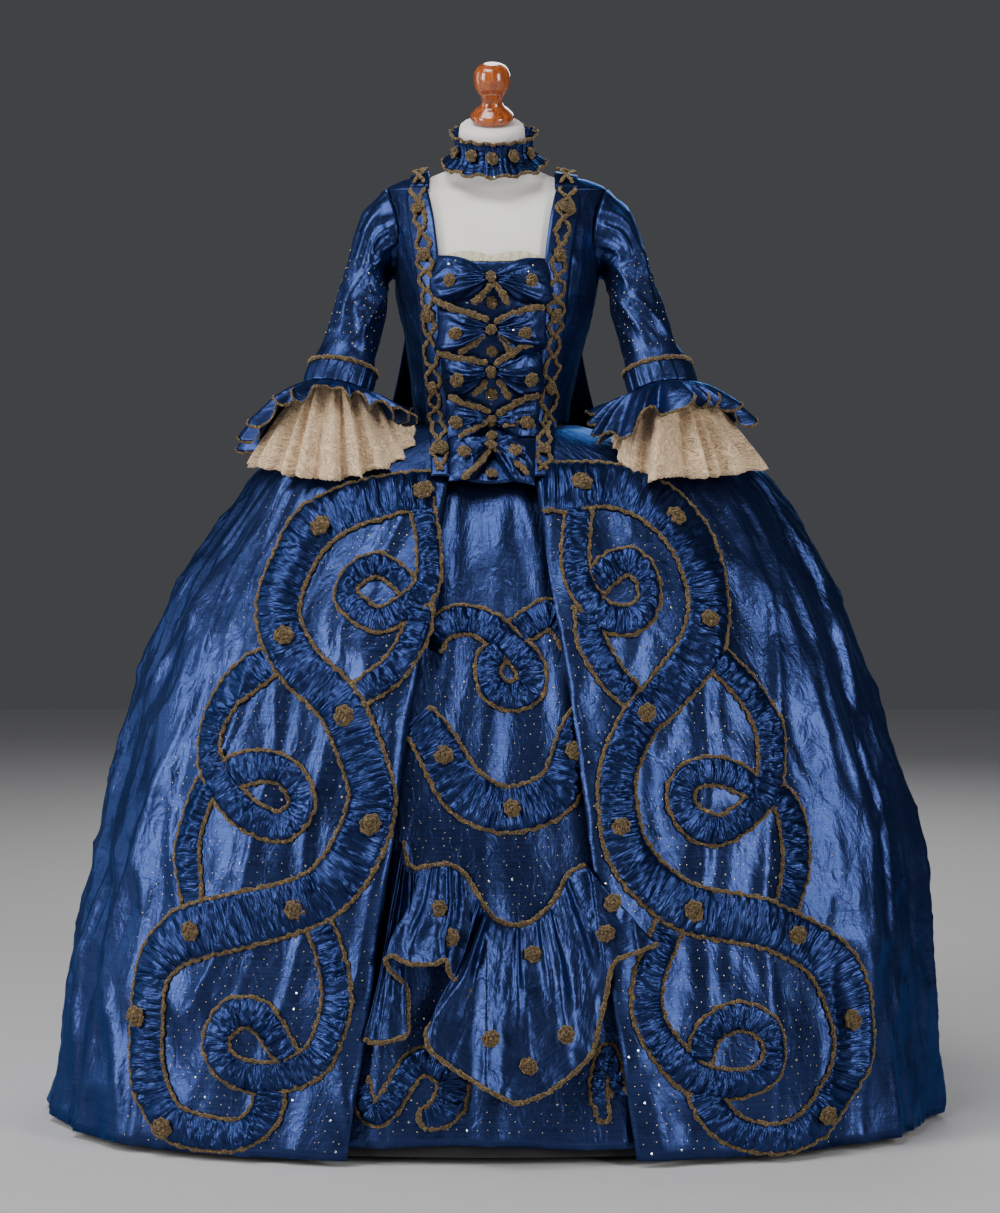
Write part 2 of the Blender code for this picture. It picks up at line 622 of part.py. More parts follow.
# Skirts
def skirt_heights(low, high=WAIST_Z - 0.004):
    rows = [low] + [row["z"] for row in reversed(SKIRT) if low + 0.03 < row["z"] < high - 0.005]
    return [z for z in rows if z not in (0.100, 0.300, 0.500, 0.690, 0.980)] + [high]


def make_skirts():
    def folded(angle, z, out):
        share = min(max((FOLD_TOP_Z - z) / 0.5, 0), 1)
        return skirt_point(angle, z, out * (0.35 + 0.65 * share) * (z < FOLD_TOP_Z))

    rows = []
    for z in skirt_heights(HEM_FRONT_Z):
        start = front_angle(straight(OPENING, z), z)
        rows.append([folded(start + (SIDE_SEAM - 0.3 - start) * i / 10, z, FRONT_FOLDS.get(i, 0))
                     for i in range(11)])
    both_sides("robe_front", rows, "blue_silk")

    rows = []
    for z in skirt_heights(0.0045):
        rows.append([folded(SIDE_SEAM + (BACK_SEAM - SIDE_SEAM) * i / 5, z, BACK_FOLDS.get(i, 0))
                     for i in range(6)])
    both_sides("robe_back", rows, "blue_silk")

    around = list(range(-40, 50, 10)) + list(range(60, 320, 20))
    heights = (PETTICOAT_HEM_Z, 0.2, 0.4, 0.6, 0.78, 0.92, 0.96, 1.0, WAIST_Z - 0.004)
    rows = [[skirt_point(a, z, -PETTICOAT_IN) for a in around] for z in heights]
    sheet("petticoat", rows, "blue_silk", closed=True)
    around = range(0, 360, 20)
    heights = (0.008, 0.3, 0.6, 0.78, 0.92, 0.98, 1.01)
    rows = [[skirt_point(a, z, -UNDER_IN) for a in around] for z in heights]
    sheet("under_petticoat", rows, "black_cloth", closed=True)

    rows = []
    for line in SACK:
        row = []
        for share, inset in SACK_PLEATS[:0:-1] + [(-share, inset) for share, inset in SACK_PLEATS]:
            x = line["half_width"] * -share * -1
            y = line["behind"] - SACK_CURVE * line["half_width"] * share**2
            place = Vector((x, y - inset, line["z"]))
            if line["z"] > 0.02:
                place.y = max(place.y, gown_back(x, line["z"]) + SACK_CLEAR)
            row.append(place)
        rows.append(row)
    sheet("sack_back", rows, "blue_silk")


# Trims
def petticoat_front(x, z, out=0.0):
    return skirt_front(x, z, out - PETTICOAT_IN + 0.0005)


def make_trims():
    mirrored_band("main_scroll", smooth_route(MAIN_ROUTE), MAIN_WIDTH, skirt_front, lanes=2)
    for volute in VOLUTES:
        mirrored_band(volute["name"], volute_route(**volute), volute["width"], skirt_front)
    for link in LINKS:
        mirrored_band(link["name"], smooth_route(link["route"]), link["width"], skirt_front)
    band("petticoat_volute", volute_route(**PETTICOAT_VOLUTE), PETTICOAT_VOLUTE["width"], petticoat_front)
    band("petticoat_branch", smooth_route(PETTICOAT_BRANCH, 0.02), 0.036, petticoat_front)
    band("petticoat_swag", smooth_route(PETTICOAT_SWAG), 0.062, petticoat_front)
    band("foot_scroll_left", smooth_route(FOOT_SCROLL, 0.02), 0.026, petticoat_front)
    band("foot_scroll_right", smooth_route(FOOT_SCROLL_RIGHT, 0.02), 0.022, petticoat_front)


def make_flounce():
    rows = []
    for share in (1.0, 0.6, 0.25, 0.0):
        row = []
        for i in range(2 * len(FLOUNCE) - 1):
            a, b = FLOUNCE[i // 2], FLOUNCE[(i + 1) // 2]
            x, top, hem = ((a[key] + b[key]) / 2 for key in ("x", "top", "hem"))
            z = top + (hem - top) * share
            place = petticoat_front(x * (1 + (FLOUNCE_SPREAD - 1) * share), z, 0.0)
            fold = FLOUNCE_FOLD * share * math.cos(i * math.pi) * (0.65 + 0.35 * math.sin(i * 2.1))
            row.append(place + Vector((0, -0.0055 - 0.020 * share**0.7 + fold, 0)))
        rows.append(row)
    sheet("petticoat_flounce", rows, "blue_silk")


def make_choker():
    rows = []
    for line in CHOKER:
        ring = []
        for i in range(24):
            turn = math.tau * i / 24
            radius = line["radius"] + 0.003 * math.cos(turn * 6) * (line["radius"] > 0.055)
            y = -radius * math.cos(turn)
            ring.append(CHOKER_CENTRE + Vector((radius * math.sin(turn), y, line["up"] + 0.33 * y)))
        rows.append(ring)
    sheet("neck_ruffle", rows, "ruched_silk", wall=0.0015, closed=True)


start_scene()
make_form()
make_bodice()
make_bows()
make_sleeves()
make_skirts()
make_trims()
make_flounce()
make_choker()
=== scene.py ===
# Robe a la francaise on its dress form: the looks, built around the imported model.
# Metres, +Z up, the gown faces -Y. Angles go round the gown from the front towards +X.
import math
import bpy
import numpy as np
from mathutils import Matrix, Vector


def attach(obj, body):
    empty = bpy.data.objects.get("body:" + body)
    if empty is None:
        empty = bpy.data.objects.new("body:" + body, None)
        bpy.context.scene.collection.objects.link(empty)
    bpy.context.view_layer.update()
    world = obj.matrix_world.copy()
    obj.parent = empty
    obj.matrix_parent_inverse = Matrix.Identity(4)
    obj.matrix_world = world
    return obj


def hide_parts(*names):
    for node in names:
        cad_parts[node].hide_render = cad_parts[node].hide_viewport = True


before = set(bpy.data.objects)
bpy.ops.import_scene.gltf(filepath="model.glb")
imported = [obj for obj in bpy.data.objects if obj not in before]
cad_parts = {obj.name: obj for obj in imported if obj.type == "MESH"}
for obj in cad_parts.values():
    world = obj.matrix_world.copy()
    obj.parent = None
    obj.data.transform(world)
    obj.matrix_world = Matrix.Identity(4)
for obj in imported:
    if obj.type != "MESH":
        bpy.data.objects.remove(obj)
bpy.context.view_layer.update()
waistZ = 1.030
print("frame loaded:", len(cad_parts), "nodes")


# small tools for curves, noise and grids
def deselectAll():
    for obj in bpy.context.selected_objects:
        obj.select_set(False)


def readCurve(places, sizes):
    # a smooth curve through a short table, read at any place
    order = np.argsort(places)
    x, y = np.asarray(places, float)[order], np.asarray(sizes, float)[order]
    step = np.diff(y) / np.diff(x)
    slope = np.empty_like(y)
    slope[0], slope[-1] = step[0], step[-1]
    a, b = step[:-1], step[1:]
    slope[1:-1] = np.where(a * b > 0, 2 * a * b / np.where(a + b == 0, 1, a + b), 0)
    fine = np.linspace(x[0], x[-1], 2500)
    k = np.clip(np.searchsorted(x, fine, side="right") - 1, 0, len(x) - 2)
    span = x[k + 1] - x[k]
    t = (fine - x[k]) / span
    value = ((2 * t**3 - 3 * t**2 + 1) * y[k] + (t**3 - 2 * t**2 + t) * span * slope[k]
             + (3 * t**2 - 2 * t**3) * y[k + 1] + (t**3 - t**2) * span * slope[k + 1])
    return lambda place: np.interp(place, fine, value)


def smoothStep(low, high, value):
    t = np.clip((value - low) / (high - low), 0, 1)
    return t * t * (3 - 2 * t)


def cloudy(x, y, size, seed):
    # soft uneven waves, about -1 to 1, with hills about size across
    rng = np.random.default_rng(seed)
    total = np.zeros(np.broadcast(x, y).shape)
    for _ in range(7):
        turn, scale, phase = rng.uniform(0, math.pi), rng.uniform(0.7, 1.5), rng.uniform(0, math.tau)
        total = total + np.sin((x * math.cos(turn) + y * math.sin(turn)) * math.pi * scale / size + phase)
    return total / 3.2


def creased(x, y, size, seed):
    # crisp ridges, 0 to 1, like silk that has been crushed and let go
    return np.clip(1 - np.abs(cloudy(x, y, size, seed)) * 1.9, 0, 1) ** 1.6


def unit(vectors):
    return vectors / np.maximum(np.linalg.norm(vectors, axis=-1, keepdims=True), 1e-12)


def evenLine(points, step):
    # the same line, in points that are step apart
    points = np.asarray(points, float)
    length = np.concatenate([[0], np.cumsum(np.linalg.norm(np.diff(points, axis=0), axis=1))])
    count = max(3, int(round(length[-1] / step)) + 1)
    at = np.linspace(0, length[-1], count)
    return np.stack([np.interp(at, length, points[:, i]) for i in range(points.shape[1])], axis=1)


def smoothLine(points, step):
    # a smooth curve through a few points
    points = np.asarray(points, float)
    points = np.vstack([2 * points[0] - points[1], points, 2 * points[-1] - points[-2]])
    fine = []
    for p, q, r, s in zip(points, points[1:], points[2:], points[3:]):
        t = np.linspace(0, 1, 24, endpoint=False)[:, None]
        fine.append(0.5 * (2 * q + (r - p) * t + (2 * p - 5 * q + 4 * r - s) * t**2
                           + (3 * q - p - 3 * r + s) * t**3))
    fine.append(points[-2][None])
    return evenLine(np.vstack(fine), step)


# making and finishing pieces
def clothGrid(name, grid, material, wall=0.0, ring=False, size=(1, 1), closed=False):
    # a sheet from rows of points, whose UV map runs over size; a ring is joined up, and closed at its ends
    rows, columns = grid.shape[:2]
    deselectAll()
    bpy.ops.mesh.primitive_grid_add(x_subdivisions=columns - 1, y_subdivisions=rows - 1, size=1)
    obj = bpy.context.object
    obj.name = obj.data.name = name
    mesh = obj.data
    mesh.vertices.foreach_set("co", np.ascontiguousarray(grid, np.float32).ravel())
    uv = np.empty(len(mesh.loops) * 2, np.float32)
    mesh.uv_layers[0].data.foreach_get("uv", uv)
    uv = uv.reshape(-1, 2) * np.array(size, np.float32)
    mesh.uv_layers[0].data.foreach_set("uv", uv.ravel())
    if ring:
        bpy.ops.object.mode_set(mode="EDIT")
        bpy.ops.mesh.select_all(action="SELECT")
        bpy.ops.mesh.remove_doubles(threshold=0.00002)
        if closed:
            bpy.ops.mesh.fill_holes(sides=0)
        bpy.ops.object.mode_set(mode="OBJECT")
    if wall:
        solid = obj.modifiers.new("wall", "SOLIDIFY")
        solid.thickness, solid.offset = wall, -1
        bpy.ops.object.modifier_apply(modifier=solid.name)
    mesh.update()
    mesh.materials.clear()
    mesh.materials.append(material)
    bpy.ops.object.shade_smooth()
    return obj


def place(obj, slot, *nodes):
    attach(obj, "root")
    if nodes:
        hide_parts(*nodes)
    return obj


def makePanel(name, grid, material, wall, size, slot, node, sign=1, ring=False, **sheet):
    # one piece of cloth; a left piece's columns run the other way, so that it faces out too
    obj = clothGrid(name, grid if sign > 0 else grid[:, ::-1], material, wall, ring, size)
    place(obj, slot, node)


def joined(name, parts):
    deselectAll()
    for part in parts:
        part.select_set(True)
    bpy.context.view_layer.objects.active = parts[0]
    bpy.ops.object.join()
    obj = bpy.context.object
    obj.name = obj.data.name = name
    return obj


def tubeGrid(path, normal, width, height, sides=6):
    # rings about a path: the flat side lies on the cloth
    along = unit(np.gradient(path, axis=0))
    side = unit(np.cross(along, normal))
    turn = np.linspace(0, math.tau, sides + 1)
    ring = (side[:, None] * (np.cos(turn)[None] * width[:, None] / 2)[..., None]
            + normal[:, None] * (np.sin(turn)[None] * height[:, None] / 2)[..., None])
    return path[:, None] + ring


# materials
def addNode(tree, kind, at=(0, 0), **settings):
    node = tree.nodes.new(kind)
    node.location = at
    for key, value in settings.items():
        setattr(node, key, value)
    return node


def mathNode(tree, operation, first, second=None, clamp=False):
    node = addNode(tree, "ShaderNodeMath", operation=operation, use_clamp=clamp)
    for socket, value in zip(node.inputs, (first, second)):
        if value is None:
            continue
        if isinstance(value, (int, float)):
            socket.default_value = value
        else:
            tree.links.new(value, socket)
    return node.outputs[0]


def plus(tree, first, second):
    return mathNode(tree, "ADD", first, second)


def times(tree, first, second, clamp=False):
    return mathNode(tree, "MULTIPLY", first, second, clamp)


def mixed(tree, first, firstShare, second, secondShare):
    return plus(tree, times(tree, first, firstShare), times(tree, second, secondShare))


def awayFrom(tree, value, middle):
    return mathNode(tree, "ABSOLUTE", mathNode(tree, "SUBTRACT", value, middle))


def ridgeNode(tree, value, middle, steep):
    # 1 where the value is at the middle, down to 0 on both sides
    return mathNode(tree, "SUBTRACT", 1.0, times(tree, awayFrom(tree, value, middle), steep), clamp=True)


def noiseNode(tree, vector, scale, detail=2.0, rough=0.5, stretch=(1, 1, 1), distortion=0.0):
    mapping = addNode(tree, "ShaderNodeMapping")
    mapping.inputs["Scale"].default_value = stretch
    tree.links.new(vector, mapping.inputs["Vector"])
    noise = addNode(tree, "ShaderNodeTexNoise")
    noise.inputs["Scale"].default_value = scale
    noise.inputs["Detail"].default_value = detail
    noise.inputs["Roughness"].default_value = rough
    noise.inputs["Distortion"].default_value = distortion
    tree.links.new(mapping.outputs[0], noise.inputs["Vector"])
    return noise.outputs["Fac"]


def newGroup(name, inputs, outputs):
    group = bpy.data.node_groups.new(name, "ShaderNodeTree")
    for title, kind, value in inputs:
        socket = group.interface.new_socket(title, in_out="INPUT", socket_type=kind)
        if value is not None:
            socket.default_value = value
    for title, kind in outputs:
        group.interface.new_socket(title, in_out="OUTPUT", socket_type=kind)
    return group, addNode(group, "NodeGroupInput", (-900, 0)), addNode(group, "NodeGroupOutput", (600, 0))


def makeSilkSurface():
    # slub streaks along the weft, cloudy shading, crushed creases and the weave itself; heights in mm
    group, given, result = newGroup(
        "silkSurface",
        [("Vector", "NodeSocketVector", None), ("Crush", "NodeSocketFloat", 0.5),
         ("Slub", "NodeSocketFloat", 0.05), ("Weave", "NodeSocketFloat", 0.02)],
        [("Cloud", "NodeSocketFloat"), ("Streak", "NodeSocketFloat"), ("Height", "NodeSocketFloat")])
    vector = given.outputs["Vector"]
    streak = noiseNode(group, vector, 1, 2, 0.6, stretch=(9, 420, 1))
    fine = noiseNode(group, vector, 1, 1, 0.5, stretch=(40, 1500, 1))
    crush = noiseNode(group, vector, 24, 3, 0.55, stretch=(1.25, 0.8, 1), distortion=0.5)
    small = noiseNode(group, vector, 75, 2, 0.5, distortion=0.4)
    folds = mixed(group, ridgeNode(group, crush, 0.5, 5.0), 1.0, ridgeNode(group, small, 0.5, 4.0), 0.28)
    height = mixed(group, folds, given.outputs["Crush"], streak, given.outputs["Slub"])
    height = plus(group, height, times(group, fine, given.outputs["Weave"]))
    group.links.new(noiseNode(group, vector, 7, 3, 0.55), result.inputs["Cloud"])
    group.links.new(mixed(group, streak, 0.7, fine, 0.3), result.inputs["Streak"])
    group.links.new(height, result.inputs["Height"])
    return group


def startMaterial(name, **sockets):
    material = bpy.data.materials.new(name)
    material.use_nodes = True
    tree = material.node_tree
    shader = tree.nodes["Principled BSDF"]
    for title, value in sockets.items():
        shader.inputs[title.replace("_", " ")].default_value = value
    coordinates = addNode(tree, "ShaderNodeTexCoord", (-1200, 0))
    return material, tree, shader, coordinates.outputs


def colourInto(tree, shader, value, stops):
    # the base colour from a ramp; each stop is a place and its colour
    ramp = addNode(tree, "ShaderNodeValToRGB")
    for element, (position, colour) in zip(ramp.color_ramp.elements, (stops[0], stops[-1])):
        element.position, element.color = position, (*colour, 1)
    for position, colour in stops[1:-1]:
        ramp.color_ramp.elements.new(position).color = (*colour, 1)
    tree.links.new(value, ramp.inputs[0])
    tree.links.new(ramp.outputs[0], shader.inputs["Base Color"])


def bumpInto(tree, shader, height, distance=0.001):
    bump = addNode(tree, "ShaderNodeBump")
    bump.inputs["Distance"].default_value = distance
    tree.links.new(height, bump.inputs["Height"])
    tree.links.new(bump.outputs[0], shader.inputs["Normal"])


silkSurface = makeSilkSurface()


def silkMaterial(name, dark, middle, light, crush, rough=0.36, gathers=0.0):
    material, tree, shader, coordinates = startMaterial(
        name, Metallic=0.92, Sheen_Weight=0.06, Sheen_Roughness=0.35, Anisotropic=0.3, Specular_IOR_Level=0.4,
        Sheen_Tint=(0.35, 0.55, 1.0, 1.0), Specular_Tint=(0.34, 0.52, 0.92, 1.0))
    surface = addNode(tree, "ShaderNodeGroup", node_tree=silkSurface)
    surface.inputs["Crush"].default_value = crush
    tree.links.new(coordinates["UV"], surface.inputs["Vector"])
    streak, height = surface.outputs["Streak"], surface.outputs["Height"]
    tone = mixed(tree, surface.outputs["Cloud"], 0.45, streak, 0.55)
    colourInto(tree, shader, tone, [(0.30, dark), (0.50, middle), (0.72, light)])
    tree.links.new(plus(tree, rough - 0.06, times(tree, streak, 0.12)), shader.inputs["Roughness"])
    if gathers:
        pleats = noiseNode(tree, coordinates["UV"], 1, 2, 0.5, stretch=(15, 215, 1), distortion=0.2)
        height = plus(tree, height, times(tree, awayFrom(tree, pleats, 0.5), -gathers))
    bumpInto(tree, shader, height)
    return material


def gimpMaterial():
    # matt metal thread and silk floss, fuzzy and uneven
    material, tree, shader, coordinates = startMaterial(
        "goldGimp", Metallic=0.35, Sheen_Weight=0.5, Sheen_Roughness=0.4, Specular_IOR_Level=0.4,
        Sheen_Tint=(1.0, 0.75, 0.4, 1.0))
    floss = noiseNode(tree, coordinates["Object"], 520, 3, 0.7)
    patches = noiseNode(tree, coordinates["Object"], 190, 2, 0.6)
    colourInto(tree, shader, mixed(tree, floss, 0.7, patches, 0.3),
               [(0.36, (0.011, 0.007, 0.004)), (0.46, (0.055, 0.034, 0.015)),
                (0.56, (0.150, 0.095, 0.042)), (0.68, (0.520, 0.380, 0.190))])
    tree.links.new(plus(tree, 0.34, times(tree, patches, 0.3)), shader.inputs["Roughness"])
    bumpInto(tree, shader, plus(tree, times(tree, floss, 2.2), patches), 0.0014)
    return material


def laceMaterial(name, tint, netAlpha, flowers):
    # sprigs of close thread with darker outlines, on open net
    material, tree, shader, coordinates = startMaterial(
        name, Roughness=0.8, Sheen_Weight=0.35, Sheen_Roughness=0.5, Specular_IOR_Level=0.25)
    uv = coordinates["UV"]
    sprig = noiseNode(tree, uv, 105, 2, 0.55, distortion=1.3)
    threads = noiseNode(tree, uv, 620, 2, 0.6)
    cells = addNode(tree, "ShaderNodeTexVoronoi", feature="DISTANCE_TO_EDGE")
    cells.inputs["Scale"].default_value = 480
    tree.links.new(uv, cells.inputs["Vector"])
    flower = times(tree, mathNode(tree, "SUBTRACT", sprig, 0.47), 12.0, clamp=True)
    outline = ridgeNode(tree, sprig, 0.50, 26.0)
    net = mathNode(tree, "LESS_THAN", cells.outputs["Distance"], 0.16)
    net = mathNode(tree, "ADD", times(tree, net, 1 - netAlpha), netAlpha, clamp=True)
    alpha = mathNode(tree, "MAXIMUM", net, times(tree, flower, flowers))
    shade = mixed(tree, flower, 0.20, threads, 0.8)
    shade = mathNode(tree, "SUBTRACT", shade, times(tree, outline, 0.42 * flowers))
    dark, pale = tuple(c * 0.40 for c in tint), tuple(min(1, c * 1.22) for c in tint)
    colourInto(tree, shader, shade, [(0.02, dark), (0.42, tint), (0.80, pale)])
    tree.links.new(alpha, shader.inputs["Alpha"])
    bumpInto(tree, shader, plus(tree, flower, times(tree, threads, 0.5)), 0.0005)
    return material


def plainCloth(name, colour, shade, scale=900.0):
    material, tree, shader, coordinates = startMaterial(
        name, Roughness=0.85, Sheen_Weight=0.25, Sheen_Roughness=0.5, Specular_IOR_Level=0.25)
    knit = noiseNode(tree, coordinates["Object"], scale, 2, 0.6)
    cloud = noiseNode(tree, coordinates["Object"], 9, 3, 0.5)
    colourInto(tree, shader, mixed(tree, knit, 0.4, cloud, 0.6), [(0.35, shade), (0.62, colour)])
    bumpInto(tree, shader, knit, 0.00025)
    return material


def varnishMaterial():
    material, tree, shader, coordinates = startMaterial(
        "varnishedWood", Roughness=0.24, Coat_Weight=0.9, Coat_Roughness=0.07, Specular_IOR_Level=0.5)
    grain = noiseNode(tree, coordinates["Object"], 60, 4, 0.6, stretch=(2.2, 2.2, 0.35), distortion=1.4)
    pores = noiseNode(tree, coordinates["Object"], 420, 2, 0.5, stretch=(1, 1, 0.18))
    colourInto(tree, shader, mixed(tree, grain, 0.75, pores, 0.25),
               [(0.36, (0.115, 0.020, 0.004)), (0.50, (0.300, 0.062, 0.011)), (0.66, (0.470, 0.120, 0.020))])
    bumpInto(tree, shader, pores, 0.0002)
    return material


def metalMaterial(name, colour, rough, metal):
    material, tree, shader, coordinates = startMaterial(name, Metallic=metal)
    wear = noiseNode(tree, coordinates["Object"], 140, 3, 0.6)
    colourInto(tree, shader, wear, [(0.35, tuple(c * 0.7 for c in colour)), (0.65, colour)])
    tree.links.new(plus(tree, rough - 0.05, times(tree, wear, 0.1)), shader.inputs["Roughness"])
    bumpInto(tree, shader, wear, 0.0001)
    return material


blueSilk = silkMaterial("blueSilk", (0.011, 0.019, 0.068), (0.024, 0.039, 0.127), (0.041, 0.067, 0.204), 0.60)
ruchedSilk = silkMaterial("ruchedSilk", (0.010, 0.017, 0.062), (0.018, 0.031, 0.108), (0.036, 0.059, 0.185),
                          0.25, rough=0.33, gathers=4.4)
goldGimp = gimpMaterial()
beigeLace = laceMaterial("beigeLace", (0.62, 0.445, 0.280), 0.70, 1.0)
creamNet = laceMaterial("creamNet", (0.62, 0.56, 0.40), 0.30, 0.0)
blackCloth = plainCloth("blackCloth", (0.012, 0.012, 0.015), (0.005, 0.005, 0.006))
formCloth = plainCloth("formCloth", (0.80, 0.785, 0.765), (0.70, 0.68, 0.655), scale=1400)
varnishedWood = varnishMaterial()
paintedStand = metalMaterial("paintedStand", (0.05, 0.05, 0.052), 0.45, 0.4)
sequinGold = metalMaterial("sequinGold", (0.95, 0.78, 0.50), 0.45, 1.0)
rhinestone = metalMaterial("rhinestone", (0.95, 0.95, 0.92), 0.08, 0.9)
print("materials made")


# the skirt's surface, shared by the robe, the petticoats and all that is sewn on them
skirtShape = {
    "height": [1.030, 1.015, 1.000, 0.980, 0.960, 0.920, 0.850, 0.780, 0.690, 0.600, 0.500, 0.400, 0.300,
               0.200, 0.100, 0.000],
    "halfWidth": [0.1145, 0.170, 0.235, 0.322, 0.380, 0.416, 0.462, 0.500, 0.536, 0.563, 0.590, 0.610, 0.626,
                  0.640, 0.653, 0.6675],
    "front": [0.108, 0.120, 0.134, 0.152, 0.170, 0.202, 0.245, 0.280, 0.313, 0.339, 0.363, 0.385, 0.404,
              0.420, 0.433, 0.445],
    "back": [0.092, 0.120, 0.150, 0.190, 0.222, 0.265, 0.318, 0.358, 0.398, 0.432, 0.464, 0.494, 0.522, 0.548,
             0.574, 0.600],
    "fullness": 2.35,
    "opening": [(0.000, 0.203), (0.220, 0.170), (0.450, 0.136), (0.610, 0.116), (0.790, 0.086),
                (0.990, 0.058)],
    "hang": [(0.00, 0.004), (0.05, 0.009), (0.13, 0.008), (0.23, 0.012), (0.32, 0.014), (0.44, 0.016),
             (0.63, 0.017), (0.78, 0.021), (0.85, 0.026), (0.92, 0.030), (0.96, 0.026), (1.00, 0.008),
             (1.03, 0.000)],
}
skirtHang = readCurve(*zip(*skirtShape["hang"]))  # its sides hang a little towards +X
skirtHalf = readCurve(skirtShape["height"], skirtShape["halfWidth"])
skirtFront = readCurve(skirtShape["height"], skirtShape["front"])
skirtBack = readCurve(skirtShape["height"], skirtShape["back"])


def power(value, exponent):
    return np.sign(value) * np.abs(value) ** exponent


def ovalAt(angle, fullness):
    # across and along a full oval, as shares of its half sizes
    turn = np.radians(angle)
    return power(np.sin(turn), 2 / fullness), power(np.cos(turn), 2 / fullness)


def ovalAngle(x, half, fullness):
    share = np.clip(np.abs(x) / half, 0, 0.9999)
    return np.sign(x) * np.degrees(np.arctan2(share ** (fullness / 2), np.sqrt(1 - share**fullness)))


def ovalDepth(x, half, fullness):
    return np.clip(1 - np.clip(np.abs(x) / half, 0, 1) ** fullness, 0, 1) ** (1 / fullness)


def standingOff(surface, angle, z, lowest, highest, out):
    # a point of a surface, moved out along the normal there
    around = surface(angle + 0.5, z) - surface(angle - 0.5, z)
    upward = surface(angle, np.minimum(z + 0.004, highest)) - surface(angle, np.maximum(z - 0.004, lowest))
    return surface(angle, z) + unit(np.cross(around, upward)) * np.asarray(out)[..., None]


def skirtPlace(angle, z):
    across, along = ovalAt(angle, skirtShape["fullness"])
    depth = np.where(along > 0, skirtFront(z), skirtBack(z))
    x = skirtHalf(z) * across + skirtHang(z) * smoothStep(0.70, 1.0, np.abs(across))
    return np.stack(np.broadcast_arrays(x, -depth * along, z), axis=-1)


def skirtPoint(angle, z, out):
    return standingOff(skirtPlace, angle, z, 0, waistZ, out)


def frontAngle(x, z):
    return ovalAngle(x, skirtHalf(z), skirtShape["fullness"])


def skirtTop(x, y):
    # height of the skirt over a place on the plan
    heights = np.linspace(0, waistZ, 260)
    depth = np.where(y < 0, skirtFront(heights), skirtBack(heights))
    fullness = skirtShape["fullness"]
    inside = np.abs(x / skirtHalf(heights)) ** fullness + np.abs(y / depth) ** fullness
    return heights[inside < 1].max() if (inside < 1).any() else 0.0


# hip folds: angle at the waist and at the hem, half width in degrees, depth; a lap is steeper on one side
robeFolds = {
    "right": [(60, 54, 5.0, 0.007, 1.0), (72, 68, 5.5, 0.012, 2.4), (84, 82, 6.0, 0.013, 1.4),
              (98, 99, 6.0, 0.011, 1.0), (111, 114, 6.5, 0.014, 2.0), (127, 131, 6.0, 0.011, 1.2),
              (141, 144, 5.0, 0.009, 1.0)],
    "left": [(58, 50, 4.5, 0.006, 1.0), (66, 62, 5.0, 0.010, 1.8), (77, 76, 6.0, 0.012, 1.2),
             (88, 90, 5.0, 0.013, 2.6), (101, 105, 6.5, 0.012, 1.0), (118, 120, 6.0, 0.012, 1.8),
             (134, 137, 6.0, 0.010, 1.2)],
    "fromZ": 0.985,
    "frontWaves": 0.0078,
    "drape": 0.0074,
    "crush": 0.0044,
}


def robeLift(angle, z):
    angle, z = np.broadcast_arrays(np.asarray(angle, float), np.asarray(z, float))
    down = smoothStep(robeFolds["fromZ"], 0.45, z)
    started = smoothStep(1.0, 0.93, z)
    share = np.clip((1.0 - z), 0, 1)
    lift = np.zeros(angle.shape)
    for side, folds in (("right", robeFolds["right"]), ("left", robeFolds["left"])):
        sign = 1 if side == "right" else -1
        for atWaist, atHem, width, depth, lap in folds:
            centre = atWaist + (atHem - atWaist) * share + 1.6 * np.sin(z * 7 + atWaist)
            away = angle * sign - centre
            spread = width * (0.35 + 0.65 * down)
            spread = np.where(away > 0, spread / lap, spread)
            lift = lift + depth * started * (0.35 + 0.65 * down) * np.exp(-(away / spread) ** 2)
    run = np.radians(angle) * 0.58
    bend = run + 0.020 * cloudy(run, z, 0.22, 5)
    calm = 0.65 + 0.35 * smoothStep(40, 75, np.abs(angle))
    lift = lift + robeFolds["frontWaves"] * started * (0.4 + 0.6 * down) * cloudy(run, z * 0.30, 0.105, 3)
    lift = lift + robeFolds["drape"] * started * (0.3 + 0.7 * down) * creased(bend, z * 0.24, 0.100, 15)
    lift = lift + 0.0022 * started * cloudy(bend, z * 0.5, 0.040, 8)
    lift = lift + robeFolds["crush"] * calm * started * creased(run, z * 0.75, 0.075, 21)
    lift = lift + 0.0015 * calm * started * creased(run * 1.1, z, 0.034, 27)
    atSides = smoothStep(52, 66, np.abs(angle)) * smoothStep(158, 146, np.abs(angle))
    return lift + 0.002 - 0.0115 * started * atSides


def petticoatLift(angle, z):
    run = np.radians(angle) * 0.55
    started = smoothStep(1.02, 0.90, z)
    inward = 0.0095 * smoothStep(46, 62, np.abs(angle)) * smoothStep(1.0, 0.93, z)
    shown = 0.35 + 0.65 * smoothStep(36, 25, np.abs(angle))
    bend = run + 0.010 * cloudy(run, z, 0.30, 30)
    wave = 0.0125 * creased(bend, z * 0.05, 0.062, 31) + 0.0024 * cloudy(bend, z * 0.25, 0.030, 33)
    return started * (wave + 0.0018 * creased(run, z * 0.7, 0.060, 35)) * shown - 0.010 - inward


def onRobe(x, z, out):
    angle = frontAngle(x, z)
    return skirtPoint(angle, z, robeLift(angle, z) + out)


def onPetticoat(x, z, out):
    angle = frontAngle(x, z)
    return skirtPoint(angle, z, petticoatLift(angle, z) - 0.010 + out)


# robe skirt
robeSkirt = {"cellAcross": 0.0079, "cellUp": 0.0088, "cellBehind": 0.0115, "wall": 0.0011, "hem": 0.0085,
             "sideSeam": 98.0, "backSeam": 152.0, "frontSize": (0.92, 1.22), "backSize": (0.55, 1.22)}
openingHalf = readCurve([z for z, _ in skirtShape["opening"]], [half for _, half in skirtShape["opening"]])


